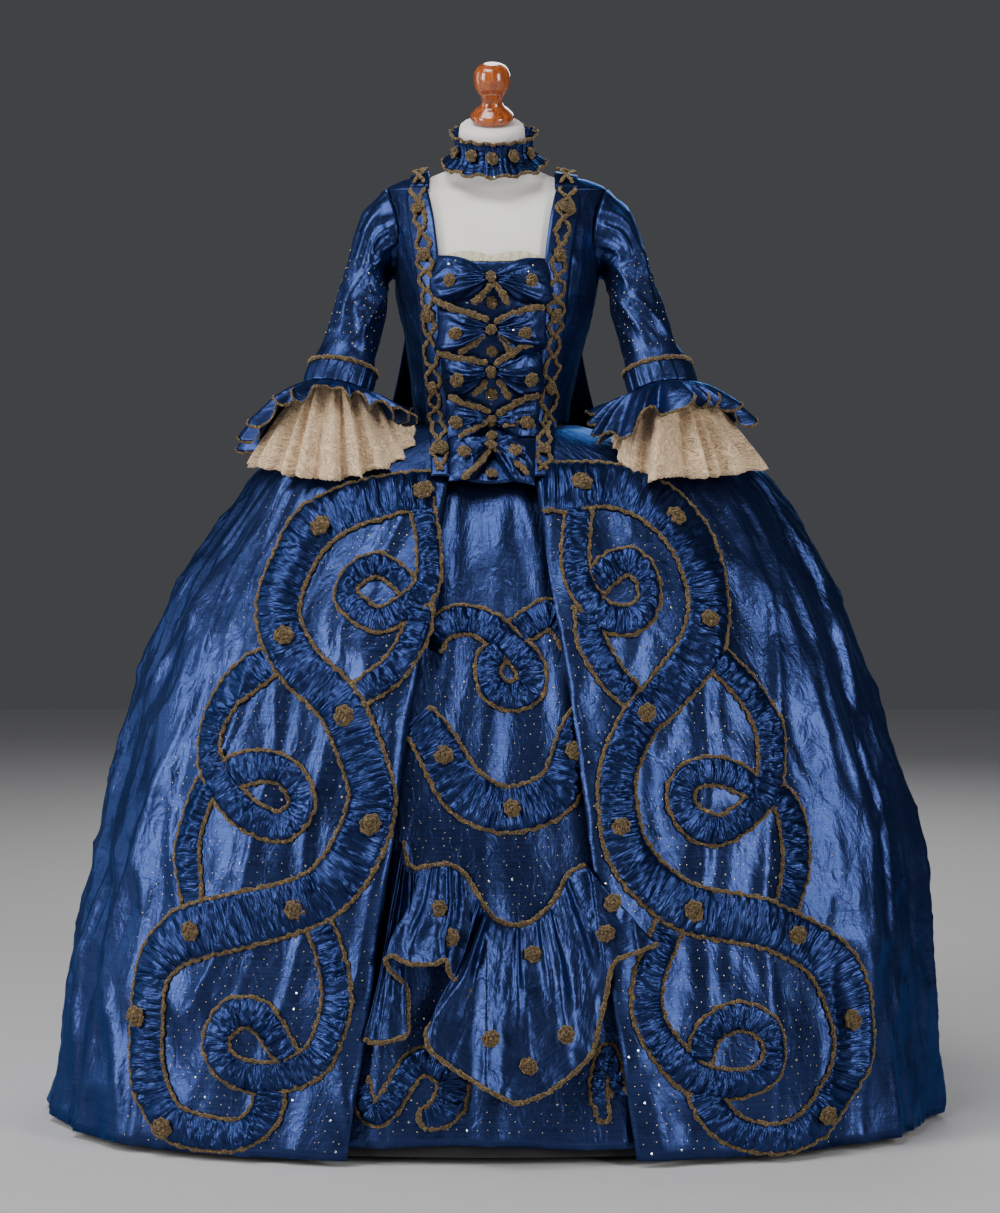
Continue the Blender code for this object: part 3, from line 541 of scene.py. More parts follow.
def makeRobeSkirt():
    rows = int(robeSkirt["frontSize"][1] / robeSkirt["cellUp"])
    share = np.linspace(0, 1, rows)
    z = (robeSkirt["hem"] + (waistZ - 0.003 - robeSkirt["hem"]) * (share ** 0.86))[:, None]
    wide = robeSkirt["frontSize"][0]
    u = np.linspace(0, 1, int(wide / robeSkirt["cellAcross"]))[None]
    start = frontAngle(openingHalf(z), z)
    frontAngles = start + (robeSkirt["sideSeam"] - 0.25 - start) * u
    roll = -0.0035 * np.exp(-((u * wide / 0.010) ** 2))
    u = np.linspace(0, 1, int(0.50 / robeSkirt["cellBehind"]))
    backAngles = robeSkirt["sideSeam"] + (robeSkirt["backSeam"] - robeSkirt["sideSeam"]) * u[None] + 0 * z
    for side, sign in (("right", 1), ("left", -1)):
        for part, angle, edge, size in (("Front", frontAngles, roll, "frontSize"),
                                        ("Back", backAngles, 0, "backSize")):
            grid = skirtPoint(sign * angle, z + 0 * angle, robeLift(sign * angle, z) + edge)
            flat, area = ((1.05, 1.25), 0.98) if part == "Front" else ((0.62, 1.25), 0.62)
            makePanel(f"robe{part}_{side}", grid, blueSilk, robeSkirt["wall"], robeSkirt[size], "blue_silk",
                      f"robe_{part.lower()}_{side}", sign, flat=flat, held="hung", rests_on=["petticoatSilk"],
                      area=area)


makeRobeSkirt()
print("robe skirt made")

petticoatCut = {"hem": 0.023, "underIn": 0.0290,
                "under": [0.0135, 0.035, 0.08, 0.16, 0.3, 0.5, 0.7, 0.8, 0.88, 0.94, 0.98, 1.005]}


def makePetticoats():
    front = np.arange(-46, 46.1, 0.85)
    around = np.concatenate([front, np.linspace(50, 310, 53), [314]])
    z = np.linspace(petticoatCut["hem"], waistZ - 0.006, 88)[:, None]
    sag = 0.004 * np.cos(np.radians(around) * 2)
    rise = (sag + 0.0035 * cloudy(np.radians(around) * 0.5, 0 * around, 0.12, 41)) * smoothStep(0.25, 0.0, z)
    turned = (around + 180) % 360 - 180
    grid = skirtPoint(around[None] + 0 * z, z + rise, petticoatLift(turned[None] + 0 * z, z + rise) - 0.010)
    makePanel("petticoatSilk", grid, blueSilk, 0.0011, (3.1, 1.2), "blue_silk", "petticoat", ring=True,
              flat=(3.55, 1.15), held="gathered", rests_on=["underPetticoatCloth"], area=3.3)

    around = np.linspace(0, 360, 97)
    z = np.array(petticoatCut["under"])[:, None]
    wave = 0.003 * np.cos(np.radians(around) * 19)[None] * smoothStep(0.4, 0.0, z)
    grid = skirtPoint(around[None] + 0 * z, z + 0 * around, wave - petticoatCut["underIn"])
    makePanel("underPetticoatCloth", grid, blackCloth, 0.0012, (3.1, 1.2), "black_cloth", "under_petticoat",
              ring=True, flat=(3.5, 1.18), held="gathered", rests_on=["formBody"], area=3.3)


makePetticoats()
print("petticoats made")

# sack back: the line down its centre with half its width, and the box pleats across
sackBack = {
    "line": [(0.780, 0.0060, 0.395), (0.700, 0.0062, 0.395), (0.640, 0.026, 0.385), (0.604, 0.130, 0.366),
             (0.552, 0.330, 0.350), (0.482, 0.560, 0.324), (0.406, 0.760, 0.288), (0.362, 0.850, 0.266),
             (0.320, 0.920, 0.242), (0.270, 0.985, 0.205), (0.230, 1.030, 0.165), (0.172, 1.160, 0.134),
             (0.146, 1.290, 0.122), (0.138, 1.335, 0.116), (0.120, 1.376, 0.108)],
    "pleatAt": [0.0, 0.025, 0.06, 0.42, 0.45, 0.50, 0.64, 0.67, 0.73, 0.97, 1.0],
    "pleatIn": [0.012, 0.009, 0.0, -0.001, 0.0, 0.007, 0.006, 0.007, 0.013, 0.012, 0.013],
    "curve": 0.33,
    "clear": 0.0085,
}


def gownBack(x, z):
    bodiceY = bodiceMiddle(z) + bodiceBackDepth(z) * ovalDepth(x, bodiceHalf(z), bodiceShape["fullness"])
    skirtY = skirtBack(z) * ovalDepth(x, skirtHalf(z), skirtShape["fullness"])
    return np.where(z < waistZ, skirtY, bodiceY)


bodiceShape = {
    "height": [1.402, 1.392, 1.378, 1.360, 1.335, 1.300, 1.260, 1.220, 1.180, 1.130, 1.080, 1.030],
    "halfWidth": [0.100, 0.142, 0.1655, 0.1675, 0.165, 0.159, 0.153, 0.148, 0.140, 0.129, 0.119, 0.1145],
    "front": [0.030, 0.040, 0.056, 0.076, 0.096, 0.114, 0.127, 0.133, 0.131, 0.125, 0.117, 0.108],
    "back": [0.052, 0.064, 0.078, 0.090, 0.100, 0.108, 0.112, 0.112, 0.108, 0.102, 0.095, 0.092],
    "middle": [0.012, 0.012, 0.011, 0.009, 0.006, 0.003, 0.000, 0.000, 0.000, 0.000, 0.000, 0.000],
    "fullness": 2.30,
}
bodiceHalf = readCurve(bodiceShape["height"], bodiceShape["halfWidth"])
bodiceFrontDepth = readCurve(bodiceShape["height"], bodiceShape["front"])
bodiceBackDepth = readCurve(bodiceShape["height"], bodiceShape["back"])
bodiceMiddle = readCurve(bodiceShape["height"], bodiceShape["middle"])


def makeSackBack():
    line = smoothLine(sackBack["line"], 0.0125)
    half = np.unique(np.concatenate([np.linspace(0, 1, 38), sackBack["pleatAt"]]))
    share = np.concatenate([half[::-1], -half[1:]])[None]
    behind, z, width = line[:, 0:1], line[:, 1:2], line[:, 2:3]
    inset = np.interp(np.abs(share), sackBack["pleatAt"], sackBack["pleatIn"])
    down = smoothStep(1.35, 0.35, z)
    x = width * share
    sway = 0.010 * down * np.sin(share * 9 + z * 2.2) + 0.0035 * cloudy(x, z * 0.3, 0.09, 51)
    y = behind - sackBack["curve"] * width * share**2 - inset * (0.75 + 0.75 * down) + sway * (z > 0.02)
    y = y + 0.0020 * creased(x, z * 0.6, 0.07, 53)
    y = np.where(z > 0.02, np.maximum(y, gownBack(x, z + 0 * x) + sackBack["clear"]), y)
    flat = smoothStep(0.02, 0.007, z)
    lie = z + flat * (0.006 * (0.5 + 0.5 * np.cos(share * 26)) + 0.004 * (0.5 + 0.5 * cloudy(x, y, 0.06, 55)))
    grid = np.stack([x, y, lie + 0 * x], axis=-1)
    makePanel("sackBackSilk", grid, blueSilk, 0.0011, (0.72, 1.65), "blue_silk", "sack_back",
              flat=(1.15, 1.75), held="hung",
              rests_on=["bodiceBackSilk", "robeBack_left", "robeBack_right"], area=1.16)


makeSackBack()
print("sack back made")


# bodice
bodiceFront = {
    "edgeAt": [(1.034, 90), (1.080, 90), (1.130, 90), (1.180, 90), (1.225, 90), (1.245, 86), (1.275, 75),
               (1.310, 68.5), (1.342, 67.5), (1.360, 72), (1.372, 80), (1.381, 86)],
    "wall": 0.0011,
    "strap": (0.0930, 0.1650),   # from the neck edge out to the armhole, over the shoulder
}
bodiceBack = {
    "edgeAt": [(1.034, 91), (1.080, 91), (1.130, 91), (1.180, 91), (1.225, 91), (1.250, 97), (1.290, 110),
               (1.330, 114), (1.358, 108), (1.376, 99)],
}
robing = {
    "height": [0.950, 1.010, 1.069, 1.165, 1.266, 1.323, 1.360, 1.378],
    "inner": [0.0610, 0.0625, 0.0660, 0.0730, 0.0765, 0.0830, 0.0905, 0.0960],
    "outer": [0.0870, 0.0900, 0.0945, 0.1030, 0.1130, 0.1220, 0.1270, 0.1240],
    "strap": (0.0945, 0.1245),
    "wall": 0.0018,
}
robingInner = readCurve(robing["height"], robing["inner"])
robingOuter = readCurve(robing["height"], robing["outer"])


def bodicePlace(angle, z):
    across, along = ovalAt(angle, bodiceShape["fullness"])
    depth = np.where(along > 0, bodiceFrontDepth(z), bodiceBackDepth(z))
    y = bodiceMiddle(z) - depth * along
    x = bodiceHalf(z) * across + 0.0065 * smoothStep(1.05, 1.20, z) * smoothStep(0.60, 1.0, np.abs(across))
    return np.stack(np.broadcast_arrays(x, y, z), axis=-1)


def shoulderTop(x, y):
    # height of the shoulder over a place on the plan
    heights = np.linspace(1.36, 1.402, 60)
    z = np.full(np.broadcast(x, y).shape, 1.36)
    fullness = bodiceShape["fullness"]
    for height in heights:
        behind = y - bodiceMiddle(height)
        depth = np.where(behind < 0, bodiceFrontDepth(height), bodiceBackDepth(height))
        inside = (np.abs(x) / bodiceHalf(height)) ** fullness + (np.abs(behind) / depth) ** fullness
        z = np.where(inside < 1, height, z)
    return z


def shoulderStrap(sign, inner, outer, out):
    # over the shoulder, from the front panel's top edge to the back's
    x = np.linspace(inner, outer, 22)[None] * np.ones((26, 1))
    share = np.linspace(0, 1, 26)[:, None]
    front, back = 1.3775, 1.3720
    reach = [ovalDepth(np.minimum(x, bodiceHalf(z) * 0.998), bodiceHalf(z), bodiceShape["fullness"])
             for z in (front, back)]
    startY = bodiceMiddle(front) - bodiceFrontDepth(front) * reach[0]
    endY = bodiceMiddle(back) + bodiceBackDepth(back) * reach[1]
    y = startY + (endY - startY) * share
    z = shoulderTop(x, y)
    for _ in range(3):
        z[1:-1] = (z[:-2] + z[1:-1] * 2 + z[2:]) / 4
    z = np.maximum(z, 1.3700) + out
    lean = 0.0065 * smoothStep(0.09, 0.16, x)
    grid = np.stack([sign * x + lean, y - out * 0.4 * (1 - share), z], axis=-1)
    return grid if sign > 0 else grid[:, ::-1]


def bodicePoint(angle, z, out):
    return standingOff(bodicePlace, angle, z, waistZ, bodiceShape["height"][0], out)


def bodiceAngle(x, z):
    return ovalAngle(x, bodiceHalf(z), bodiceShape["fullness"])


def onGown(x, z, out):
    # the front of the bodice, running on over the top of the skirt
    x, z, out = np.broadcast_arrays(np.asarray(x, float), np.asarray(z, float), np.asarray(out, float))
    low = waistZ - 0.004
    rise = 0.0060 * np.clip((1.045 - z) / (1.045 - low), 0, 1)
    skirt = skirtPoint(frontAngle(x, np.minimum(z, low)), np.minimum(z, low), out + rise)
    bodice = bodicePoint(bodiceAngle(x, np.maximum(z, waistZ)), np.maximum(z, waistZ), out + rise)
    blend = smoothStep(low - 0.004, waistZ + 0.006, z)[..., None]
    mixed = skirt * (1 - blend) + bodice * blend
    mixed[..., 2] = np.where((z > low) & (z < waistZ + 0.006), z, mixed[..., 2])
    return mixed


def bodiceLift(angle, z):
    run = np.radians(angle) * 0.13
    drag = 0.0016 * creased(run * 1.2 + z * 0.5, z * 0.45, 0.045, 61)
    return drag + 0.0011 * cloudy(run, z * 0.6, 0.035, 63) + 0.0007 * creased(run, z, 0.02, 65)


def makeBodice():
    z = np.linspace(1.0315, 1.3835, 90)[:, None]
    edge = readCurve(*zip(*bodiceFront["edgeAt"]))(z)
    start = bodiceAngle(np.minimum(robingInner(z) + 0.010, 0.150), z)
    for side, sign in (("right", 1), ("left", -1)):
        angle = start + (edge - start) * np.linspace(0, 1, 34)[None]
        lift = bodiceLift(sign * angle, z) * smoothStep(1.38, 1.36, z)
        grid = bodicePoint(sign * angle, z + 0 * angle, lift)
        if sign < 0:
            grid = grid[:, ::-1]
        panel = clothGrid("panel", grid, blueSilk, bodiceFront["wall"], size=(0.15, 0.36))
        strap = clothGrid("strap", shoulderStrap(sign, *bodiceFront["strap"], 0.0012), blueSilk,
                          bodiceFront["wall"], size=(0.07, 0.11))
        obj = place(joined(f"bodiceFront_{side}", [panel, strap]), "blue_silk", f"bodice_front_{side}")
    z = np.linspace(1.0315, 1.3780, 56)[:, None]
    edge = readCurve(*zip(*bodiceBack["edgeAt"]))(z)
    angle = edge + (360 - 2 * edge) * np.linspace(0, 1, 46)[None]
    turned = (angle + 180) % 360 - 180
    grid = bodicePoint(angle, z + 0 * angle, bodiceLift(turned, z))
    makePanel("bodiceBackSilk", grid, blueSilk, bodiceFront["wall"], (0.36, 0.35), "blue_silk", "bodice_back",
              flat=(0.42, 0.40), held="hung", rests_on=["formBody"], area=0.13)

    z = np.linspace(0.950, 1.3800, 120)[:, None]
    for side, sign in (("right", 1), ("left", -1)):
        inner, outer = robingInner(z), robingOuter(z)
        x = sign * (inner + (outer - inner) * np.linspace(0, 1, 9)[None])
        edgeLift = 0.0008 * np.cos(np.linspace(-1, 1, 9) * 1.4)[None]
        grid = onGown(x, z + 0 * x, 0.0044 + edgeLift + 0 * x)
        if sign < 0:
            grid = grid[:, ::-1]
        strip = clothGrid("strip", grid, blueSilk, robing["wall"], size=(0.03, 0.44))
        strap = clothGrid("strap", shoulderStrap(sign, *robing["strap"], 0.0052), blueSilk, robing["wall"],
                          size=(0.03, 0.11))
        obj = place(joined(f"robingSilk_{side}", [strip, strap]), "blue_silk", f"robing_{side}")

    z = np.linspace(0.942, 1.270, 60)[:, None]
    low = 0.046 + (z - 0.942) * 0.3
    half = np.where(z > 0.99, np.minimum(robingInner(z) + 0.008, low + 0.030), np.minimum(low, 0.069))
    x = half * np.linspace(-1, 1, 30)[None]
    dip = 0.012 * smoothStep(0.99, 0.94, z) * (x / 0.06) ** 2
    grid = onGown(x, z + dip, 0.0004 * cloudy(x, z, 0.03, 71))
    makePanel("stomacherSilk", grid, blueSilk, 0.0018, (0.15, 0.34), "blue_silk", "stomacher",
              flat=(0.175, 0.36), held="laid", rests_on=["formBody"], area=0.052)


makeBodice()
print("bodice made")

# sheer frill: two shallow scallops that stand up inside the neckline
neckFrill = {"halfWidth": 0.0745, "height": 0.0155, "wall": 0.0005}


def makeNeckFrill():
    share = np.linspace(-1, 1, 91)[None]
    v = np.linspace(0, 1, 9)[:, None]
    top = neckFrill["height"] * (0.34 + 0.66 * np.abs(np.sin(share * math.pi)) ** 0.7)
    base = onGown(share * neckFrill["halfWidth"] + 0 * v, 1.268 + 0 * share * v, 0.0006 + 0 * share * v)
    lean = 0.0016 * np.sin(share * 34) * v + 0.004 * v
    grid = base + np.stack(np.broadcast_arrays(0 * share * v, lean, top * v), axis=-1)
    makePanel("neckFrillNet", grid, creamNet, neckFrill["wall"], (0.15, 0.018), "sheer_frill", "neck_frill",
              flat=(0.155, 0.018), held="gathered", rests_on=["stomacherSilk"], area=0.0022)


makeNeckFrill()

# gimp braid: a soft twisted cord, flattened where it is sewn down
gimp = {"width": 0.0074, "height": 0.0036, "step": 0.0030, "twist": 0.0085}


def braidOn(name, line, surface, lift, width=gimp["width"], seed=0):
    # line runs across and up; surface places it with its normal
    line = evenLine(line, gimp["step"])
    run = np.arange(len(line)) * gimp["step"]
    path = surface(line[:, 0], line[:, 1], np.full(len(line), lift))
    over = surface(line[:, 0], line[:, 1], np.full(len(line), lift + 0.002))
    return braidAlong(name, path, unit(over - path), run, width, seed)


def braidAlong(name, path, normal, run, width, seed):
    rng = np.random.default_rng(seed + 900)
    twist = np.sin(run / gimp["twist"] * math.tau) * 0.16 + rng.normal(0, 0.09, len(run))
    twist = twist + 0.12 * np.sin(run / 0.031 * math.tau + seed)
    along = unit(np.gradient(path, axis=0))
    side = unit(np.cross(along, normal))
    path = path + side * (np.sin(run / gimp["twist"] * math.pi + seed) * width * 0.07)[:, None]
    ends = np.minimum(1, np.minimum(run, run[-1] - run) / 0.004 + 0.25)
    grid = tubeGrid(path, normal, width * (1 + twist) * ends,
                    gimp["height"] * width / gimp["width"] * (1 + 0.8 * twist) * ends)
    return clothGrid(name, grid, goldGimp, ring=True, size=(width * 2.6, float(run[-1])))


# rosette: coiled gimp with a bead at its heart, made once and copied
def makeRosette():
    parts = []
    for radius, cord, rise, lobes, depth, segments in ((0.0100, 0.0032, 0.0, 7, 0.10, 36),
                                                      (0.0056, 0.0030, 0.0020, 4, 0.14, 22)):
        deselectAll()
        bpy.ops.mesh.primitive_torus_add(major_segments=segments, minor_segments=5, major_radius=radius,
                                         minor_radius=cord)
        obj = bpy.context.object
        co = np.array([v.co for v in obj.data.vertices])
        turn = np.arctan2(co[:, 1], co[:, 0])
        reach = np.hypot(co[:, 0], co[:, 1])
        reach = reach + radius * (depth * np.cos(lobes * turn) + 0.09 * np.cos(2 * turn + 0.6))
        reach = reach + 0.0006 * np.sin(turn * 17)
        high = co[:, 2] * (1 + 0.25 * np.sin(turn * 13)) + rise + 0.0011 * np.sin(turn * 4 + 1)
        co = np.stack([reach * np.cos(turn), reach * np.sin(turn), high], axis=1)
        obj.data.vertices.foreach_set("co", co.astype(np.float32).ravel())
        parts.append(obj)
    deselectAll()
    bpy.ops.mesh.primitive_uv_sphere_add(segments=8, ring_count=5, radius=0.0034, location=(0, 0, 0.0030))
    bpy.ops.object.transform_apply(location=True, rotation=True, scale=True)
    parts.append(bpy.context.object)
    rosette = joined("rosettePattern", parts)
    rosette.data.materials.clear()
    rosette.data.materials.append(goldGimp)
    bpy.ops.object.shade_smooth()
    return rosette


def sewRosettes(name, places):
    # copies of the rosette, each laid on its place: point, normal, scale, turn
    source = np.array([v.co for v in rosettePattern.data.vertices])
    parts = []
    for point, normal, scale, turn in places:
        obj = rosettePattern.copy()
        obj.data = rosettePattern.data.copy()
        bpy.context.scene.collection.objects.link(obj)
        up = Vector(normal).normalized()
        side = up.orthogonal().normalized()
        other = up.cross(side)
        axes = np.array([side * math.cos(turn) + other * math.sin(turn),
                         other * math.cos(turn) - side * math.sin(turn), up])
        co = (source * scale) @ axes + np.array(point)
        obj.data.vertices.foreach_set("co", co.astype(np.float32).ravel())
        parts.append(obj)
    place(joined(name, parts), "ruched_silk")


rosettePattern = makeRosette()


def spotsOn(surface, spots, lift, scale, seed):
    rng = np.random.default_rng(seed)
    x, z = np.array(spots, float).T
    point = surface(x, z, np.full(len(x), lift))
    normal = unit(surface(x, z, np.full(len(x), lift + 0.004)) - point)
    return [(p, n, scale * rng.uniform(0.9, 1.1), rng.uniform(0, math.tau)) for p, n in zip(point, normal)]


# ruched bands: gathered from both edges, so fine folds run in and meet unevenly in the middle
ruching = {"step": 0.00175, "gather": 0.0070, "spacing": 0.0145, "lanes": 14}


def gatherRuns(length, spacing, rng):
    count = int(length / spacing * 1.6) + 4
    knots = np.cumsum(rng.uniform(0.55, 1.5, count) * spacing)
    return np.concatenate([[0], knots]), np.arange(count + 1) * math.pi


def ruchedBand(name, node, route, surface, seed, puff, tuck=(0.012, 0.012), freeEnd=False):
    # route has its width in its last column; its ends lie flat for so far, to go under the next band
    rng = np.random.default_rng(seed)
    spacing = ruching["spacing"]
    route = smoothLine(route, ruching["step"])
    line, width = route[:, :2], route[:, 2]
    run = np.arange(len(line)) * ruching["step"]
    along = unit(np.gradient(line, axis=0))
    across = np.stack([along[:, 1], -along[:, 0]], axis=1)
    t = np.sin(np.linspace(-1, 1, ruching["lanes"] + 1) * math.pi / 2)
    span = width[:, None] * t[None]
    s = run[:, None] + 0.0045 * cloudy(run[:, None], span, 0.020, seed) * (1 - t[None] ** 2)
    fold = []
    for lean in (-0.0025, 0.0025):
        knots, turns = gatherRuns(run[-1] + 0.1, spacing, rng)
        fold.append(np.abs(np.sin(np.interp(s + lean * t[None], knots - 0.01, turns))) ** 0.85)
    knots, turns = gatherRuns(run[-1] + 0.1, spacing * 1.5, rng)
    wide = np.abs(np.sin(np.interp(s + 0.004 * t[None], knots - 0.01, turns))) ** 0.7
    left = smoothStep(0.30, -0.30, t)[None]
    right = smoothStep(-0.30, 0.30, t)[None]
    middle = 1 - np.abs(left - right)
    strength = 0.78 + 0.30 * cloudy(run[:, None], t[None] * 0.02, 0.03, seed + 5)
    gather = ruching["gather"] * (left * fold[0] + right * fold[1]) * (1 - 0.30 * middle)
    gather = (gather + ruching["gather"] * 0.4 * middle * wide) * strength
    gather = gather * smoothStep(1.0, 0.84, np.abs(t))[None]
    uneven = 0.85 + 0.22 * cloudy(run[:, None], t[None] * 0.03, 0.05, seed + 9)
    body = puff * (1 - np.abs(t[None]) ** 2.6) * uneven
    ends = [smoothStep(flat * 0.5, flat + 0.006, away) for flat, away in zip(tuck, (run, run[-1] - run))]
    height = 0.0016 + (body + gather) * (ends[0] * ends[1])[:, None]
    pull = width / 2 * (1 + 0.022 * np.sin(run / 0.013 * math.tau + seed))
    x = line[:, :1] + across[:, :1] * pull[:, None] * t[None]
    z = line[:, 1:] + across[:, 1:] * pull[:, None] * t[None]
    top = surface(x, z, height)
    under = surface(x[:, [-1, 0]], z[:, [-1, 0]], np.full((len(line), 2), 0.0006))
    grid = np.concatenate([top, under, top[:, :1]], axis=1)
    size = float(width.mean())
    obj = clothGrid(name, grid, ruchedSilk, ring=True, closed=True, size=(size * 2.1, float(run[-1])))
    place(obj, "ruched_silk", node)
    braids = []
    for sign in (-1, 1):
        edge = line + across * (pull * sign * 0.985)[:, None]
        edge = edge + across * (0.0008 * np.sin(run / 0.021 * math.tau + seed + sign))[:, None]
        braids.append(braidOn(f"{name}_braid{sign}", edge, surface, 0.0028, seed=seed + sign))
    if freeEnd:
        turn = np.linspace(-math.pi / 2, math.pi / 2, 14)[:, None]
        bend = line[-1] + across[-1] * pull[-1] * np.sin(turn) + along[-1] * 0.009 * np.cos(turn)
        braids.append(braidOn(f"{name}_end", bend, surface, 0.0028, seed=seed + 3))
    return braids


# the scrolls on each robe front: across, up and how wide the band is there
frontScrolls = {
    "right": {
        "main": [(0.071, 0.936, 0.066), (0.107, 0.937, 0.071), (0.176, 0.939, 0.061), (0.262, 0.895, 0.068),
                 (0.306, 0.809, 0.062), (0.301, 0.724, 0.064), (0.242, 0.645, 0.059), (0.212, 0.617, 0.056),
                 (0.177, 0.542, 0.052), (0.181, 0.459, 0.057), (0.200, 0.417, 0.061), (0.235, 0.382, 0.065),
                 (0.284, 0.351, 0.066), (0.388, 0.323, 0.065), (0.475, 0.265, 0.061), (0.506, 0.161, 0.051),
                 (0.498, 0.111, 0.051), (0.478, 0.074, 0.053), (0.449, 0.046, 0.050), (0.404, 0.031, 0.041),
                 (0.354, 0.038, 0.040), (0.319, 0.060, 0.044), (0.298, 0.093, 0.044), (0.297, 0.114, 0.042)],
        "upperVolute": [(0.126, 0.922, 0.037), (0.120, 0.821, 0.038), (0.151, 0.764, 0.038),
                        (0.179, 0.752, 0.041), (0.206, 0.756, 0.040), (0.223, 0.777, 0.031),
                        (0.222, 0.805, 0.031), (0.211, 0.824, 0.034), (0.191, 0.834, 0.037),
                        (0.168, 0.823, 0.040), (0.137, 0.790, 0.034)],
        "middleVolute": [(0.296, 0.710, 0.040), (0.352, 0.666, 0.040), (0.380, 0.629, 0.038),
                         (0.397, 0.581, 0.038), (0.387, 0.510, 0.038), (0.335, 0.464, 0.039),
                         (0.301, 0.462, 0.042), (0.275, 0.484, 0.038), (0.267, 0.512, 0.038),
                         (0.283, 0.536, 0.039), (0.313, 0.540, 0.039), (0.343, 0.531, 0.038),
                         (0.385, 0.505, 0.031)],
        "lowerVolute": [(0.254, 0.340, 0.044), (0.218, 0.258, 0.043), (0.222, 0.195, 0.043),
                        (0.265, 0.135, 0.046), (0.297, 0.115, 0.044), (0.336, 0.109, 0.040),
                        (0.369, 0.116, 0.035), (0.387, 0.141, 0.028), (0.387, 0.169, 0.029),
                        (0.370, 0.192, 0.035), (0.342, 0.202, 0.039), (0.312, 0.191, 0.039),
                        (0.296, 0.170, 0.036), (0.289, 0.130, 0.030)],
        "upperLink": [(0.130, 0.776, 0.034), (0.137, 0.753, 0.037), (0.142, 0.719, 0.040),
                      (0.174, 0.669, 0.037), (0.215, 0.632, 0.034)],
        "middleLink": [(0.391, 0.519, 0.034), (0.420, 0.477, 0.038), (0.430, 0.405, 0.040),
                       (0.409, 0.330, 0.036)],
        "rosettes": [(0.129, 0.939), (0.262, 0.891), (0.307, 0.749), (0.217, 0.622), (0.179, 0.466),
                     (0.282, 0.349), (0.424, 0.308), (0.505, 0.183), (0.466, 0.055)],
    },
    "left": {
        "main": [(-0.080, 0.930, 0.061), (-0.154, 0.924, 0.059), (-0.246, 0.891, 0.064),
                 (-0.289, 0.826, 0.060), (-0.305, 0.759, 0.063), (-0.276, 0.694, 0.064),
                 (-0.210, 0.628, 0.063), (-0.170, 0.532, 0.063), (-0.168, 0.489, 0.067),
                 (-0.182, 0.444, 0.070), (-0.209, 0.400, 0.071), (-0.259, 0.362, 0.071),
                 (-0.406, 0.317, 0.076), (-0.446, 0.298, 0.069), (-0.471, 0.272, 0.059),
                 (-0.482, 0.233, 0.049), (-0.487, 0.126, 0.048), (-0.453, 0.052, 0.052),
                 (-0.382, 0.036, 0.045), (-0.342, 0.044, 0.040), (-0.317, 0.072, 0.042),
                 (-0.309, 0.113, 0.039)],
        "upperVolute": [(-0.103, 0.922, 0.035), (-0.091, 0.865, 0.032), (-0.090, 0.810, 0.034),
                        (-0.106, 0.782, 0.034), (-0.158, 0.751, 0.034), (-0.201, 0.776, 0.034),
                        (-0.206, 0.795, 0.031), (-0.196, 0.813, 0.033), (-0.171, 0.827, 0.033),
                        (-0.145, 0.822, 0.031), (-0.110, 0.790, 0.031)],
        "middleVolute": [(-0.295, 0.705, 0.043), (-0.345, 0.670, 0.047), (-0.372, 0.643, 0.043),
                         (-0.392, 0.608, 0.037), (-0.398, 0.573, 0.034), (-0.389, 0.539, 0.040),
                         (-0.351, 0.488, 0.044), (-0.302, 0.464, 0.041), (-0.274, 0.477, 0.039),
                         (-0.264, 0.501, 0.038), (-0.273, 0.524, 0.039), (-0.293, 0.542, 0.039),
                         (-0.323, 0.546, 0.044), (-0.354, 0.538, 0.045), (-0.375, 0.523, 0.037)],
        "lowerVolute": [(-0.249, 0.350, 0.039), (-0.227, 0.296, 0.039), (-0.215, 0.229, 0.043),
                        (-0.234, 0.165, 0.043), (-0.257, 0.138, 0.044), (-0.294, 0.122, 0.042),
                        (-0.335, 0.118, 0.043), (-0.367, 0.129, 0.039), (-0.384, 0.152, 0.035),
                        (-0.382, 0.179, 0.036), (-0.363, 0.203, 0.042), (-0.338, 0.207, 0.042),
                        (-0.318, 0.195, 0.042), (-0.278, 0.136, 0.030)],
        "upperLink": [(-0.100, 0.785, 0.034), (-0.107, 0.733, 0.037), (-0.140, 0.681, 0.037),
                      (-0.199, 0.639, 0.034)],
        "middleLink": [(-0.390, 0.530, 0.034), (-0.413, 0.488, 0.037), (-0.428, 0.429, 0.035),
                       (-0.418, 0.343, 0.034)],
        "rosettes": [(-0.098, 0.927), (-0.246, 0.881), (-0.292, 0.727), (-0.204, 0.616), (-0.167, 0.469),
                     (-0.272, 0.352), (-0.416, 0.314), (-0.493, 0.189), (-0.456, 0.039)],
    },
}


scrollPieces = [("main", "main_scroll", 0.0056, (0.004, 0.012)),   # piece, CAD node, puff, flat at each end
                ("upperVolute", "upper_volute", 0.0044, (0.018, 0.018)),
                ("middleVolute", "middle_volute", 0.0044, (0.032, 0.018)),
                ("lowerVolute", "lower_volute", 0.0044, (0.030, 0.018)),
                ("upperLink", "upper_link", 0.0044, (0.018, 0.030)),
                ("middleLink", "middle_link", 0.0044, (0.018, 0.026))]


def makeFrontScrolls():
    for side, scrolls in frontScrolls.items():
        braids = []
        for seed, (piece, node, puff, tuck) in enumerate(scrollPieces):
            braids += ruchedBand(f"{piece}_{side}", f"{node}_{side}", scrolls[piece], onRobe,
                                 100 + seed * 7 + len(side), puff, tuck)
        place(joined(f"scrollBraid_{side}", braids), "ruched_silk")
        sewRosettes(f"scrollRosettes_{side}", spotsOn(onRobe, scrolls["rosettes"], 0.0128, 1.08, len(side)))


makeFrontScrolls()
print("front scrolls made")


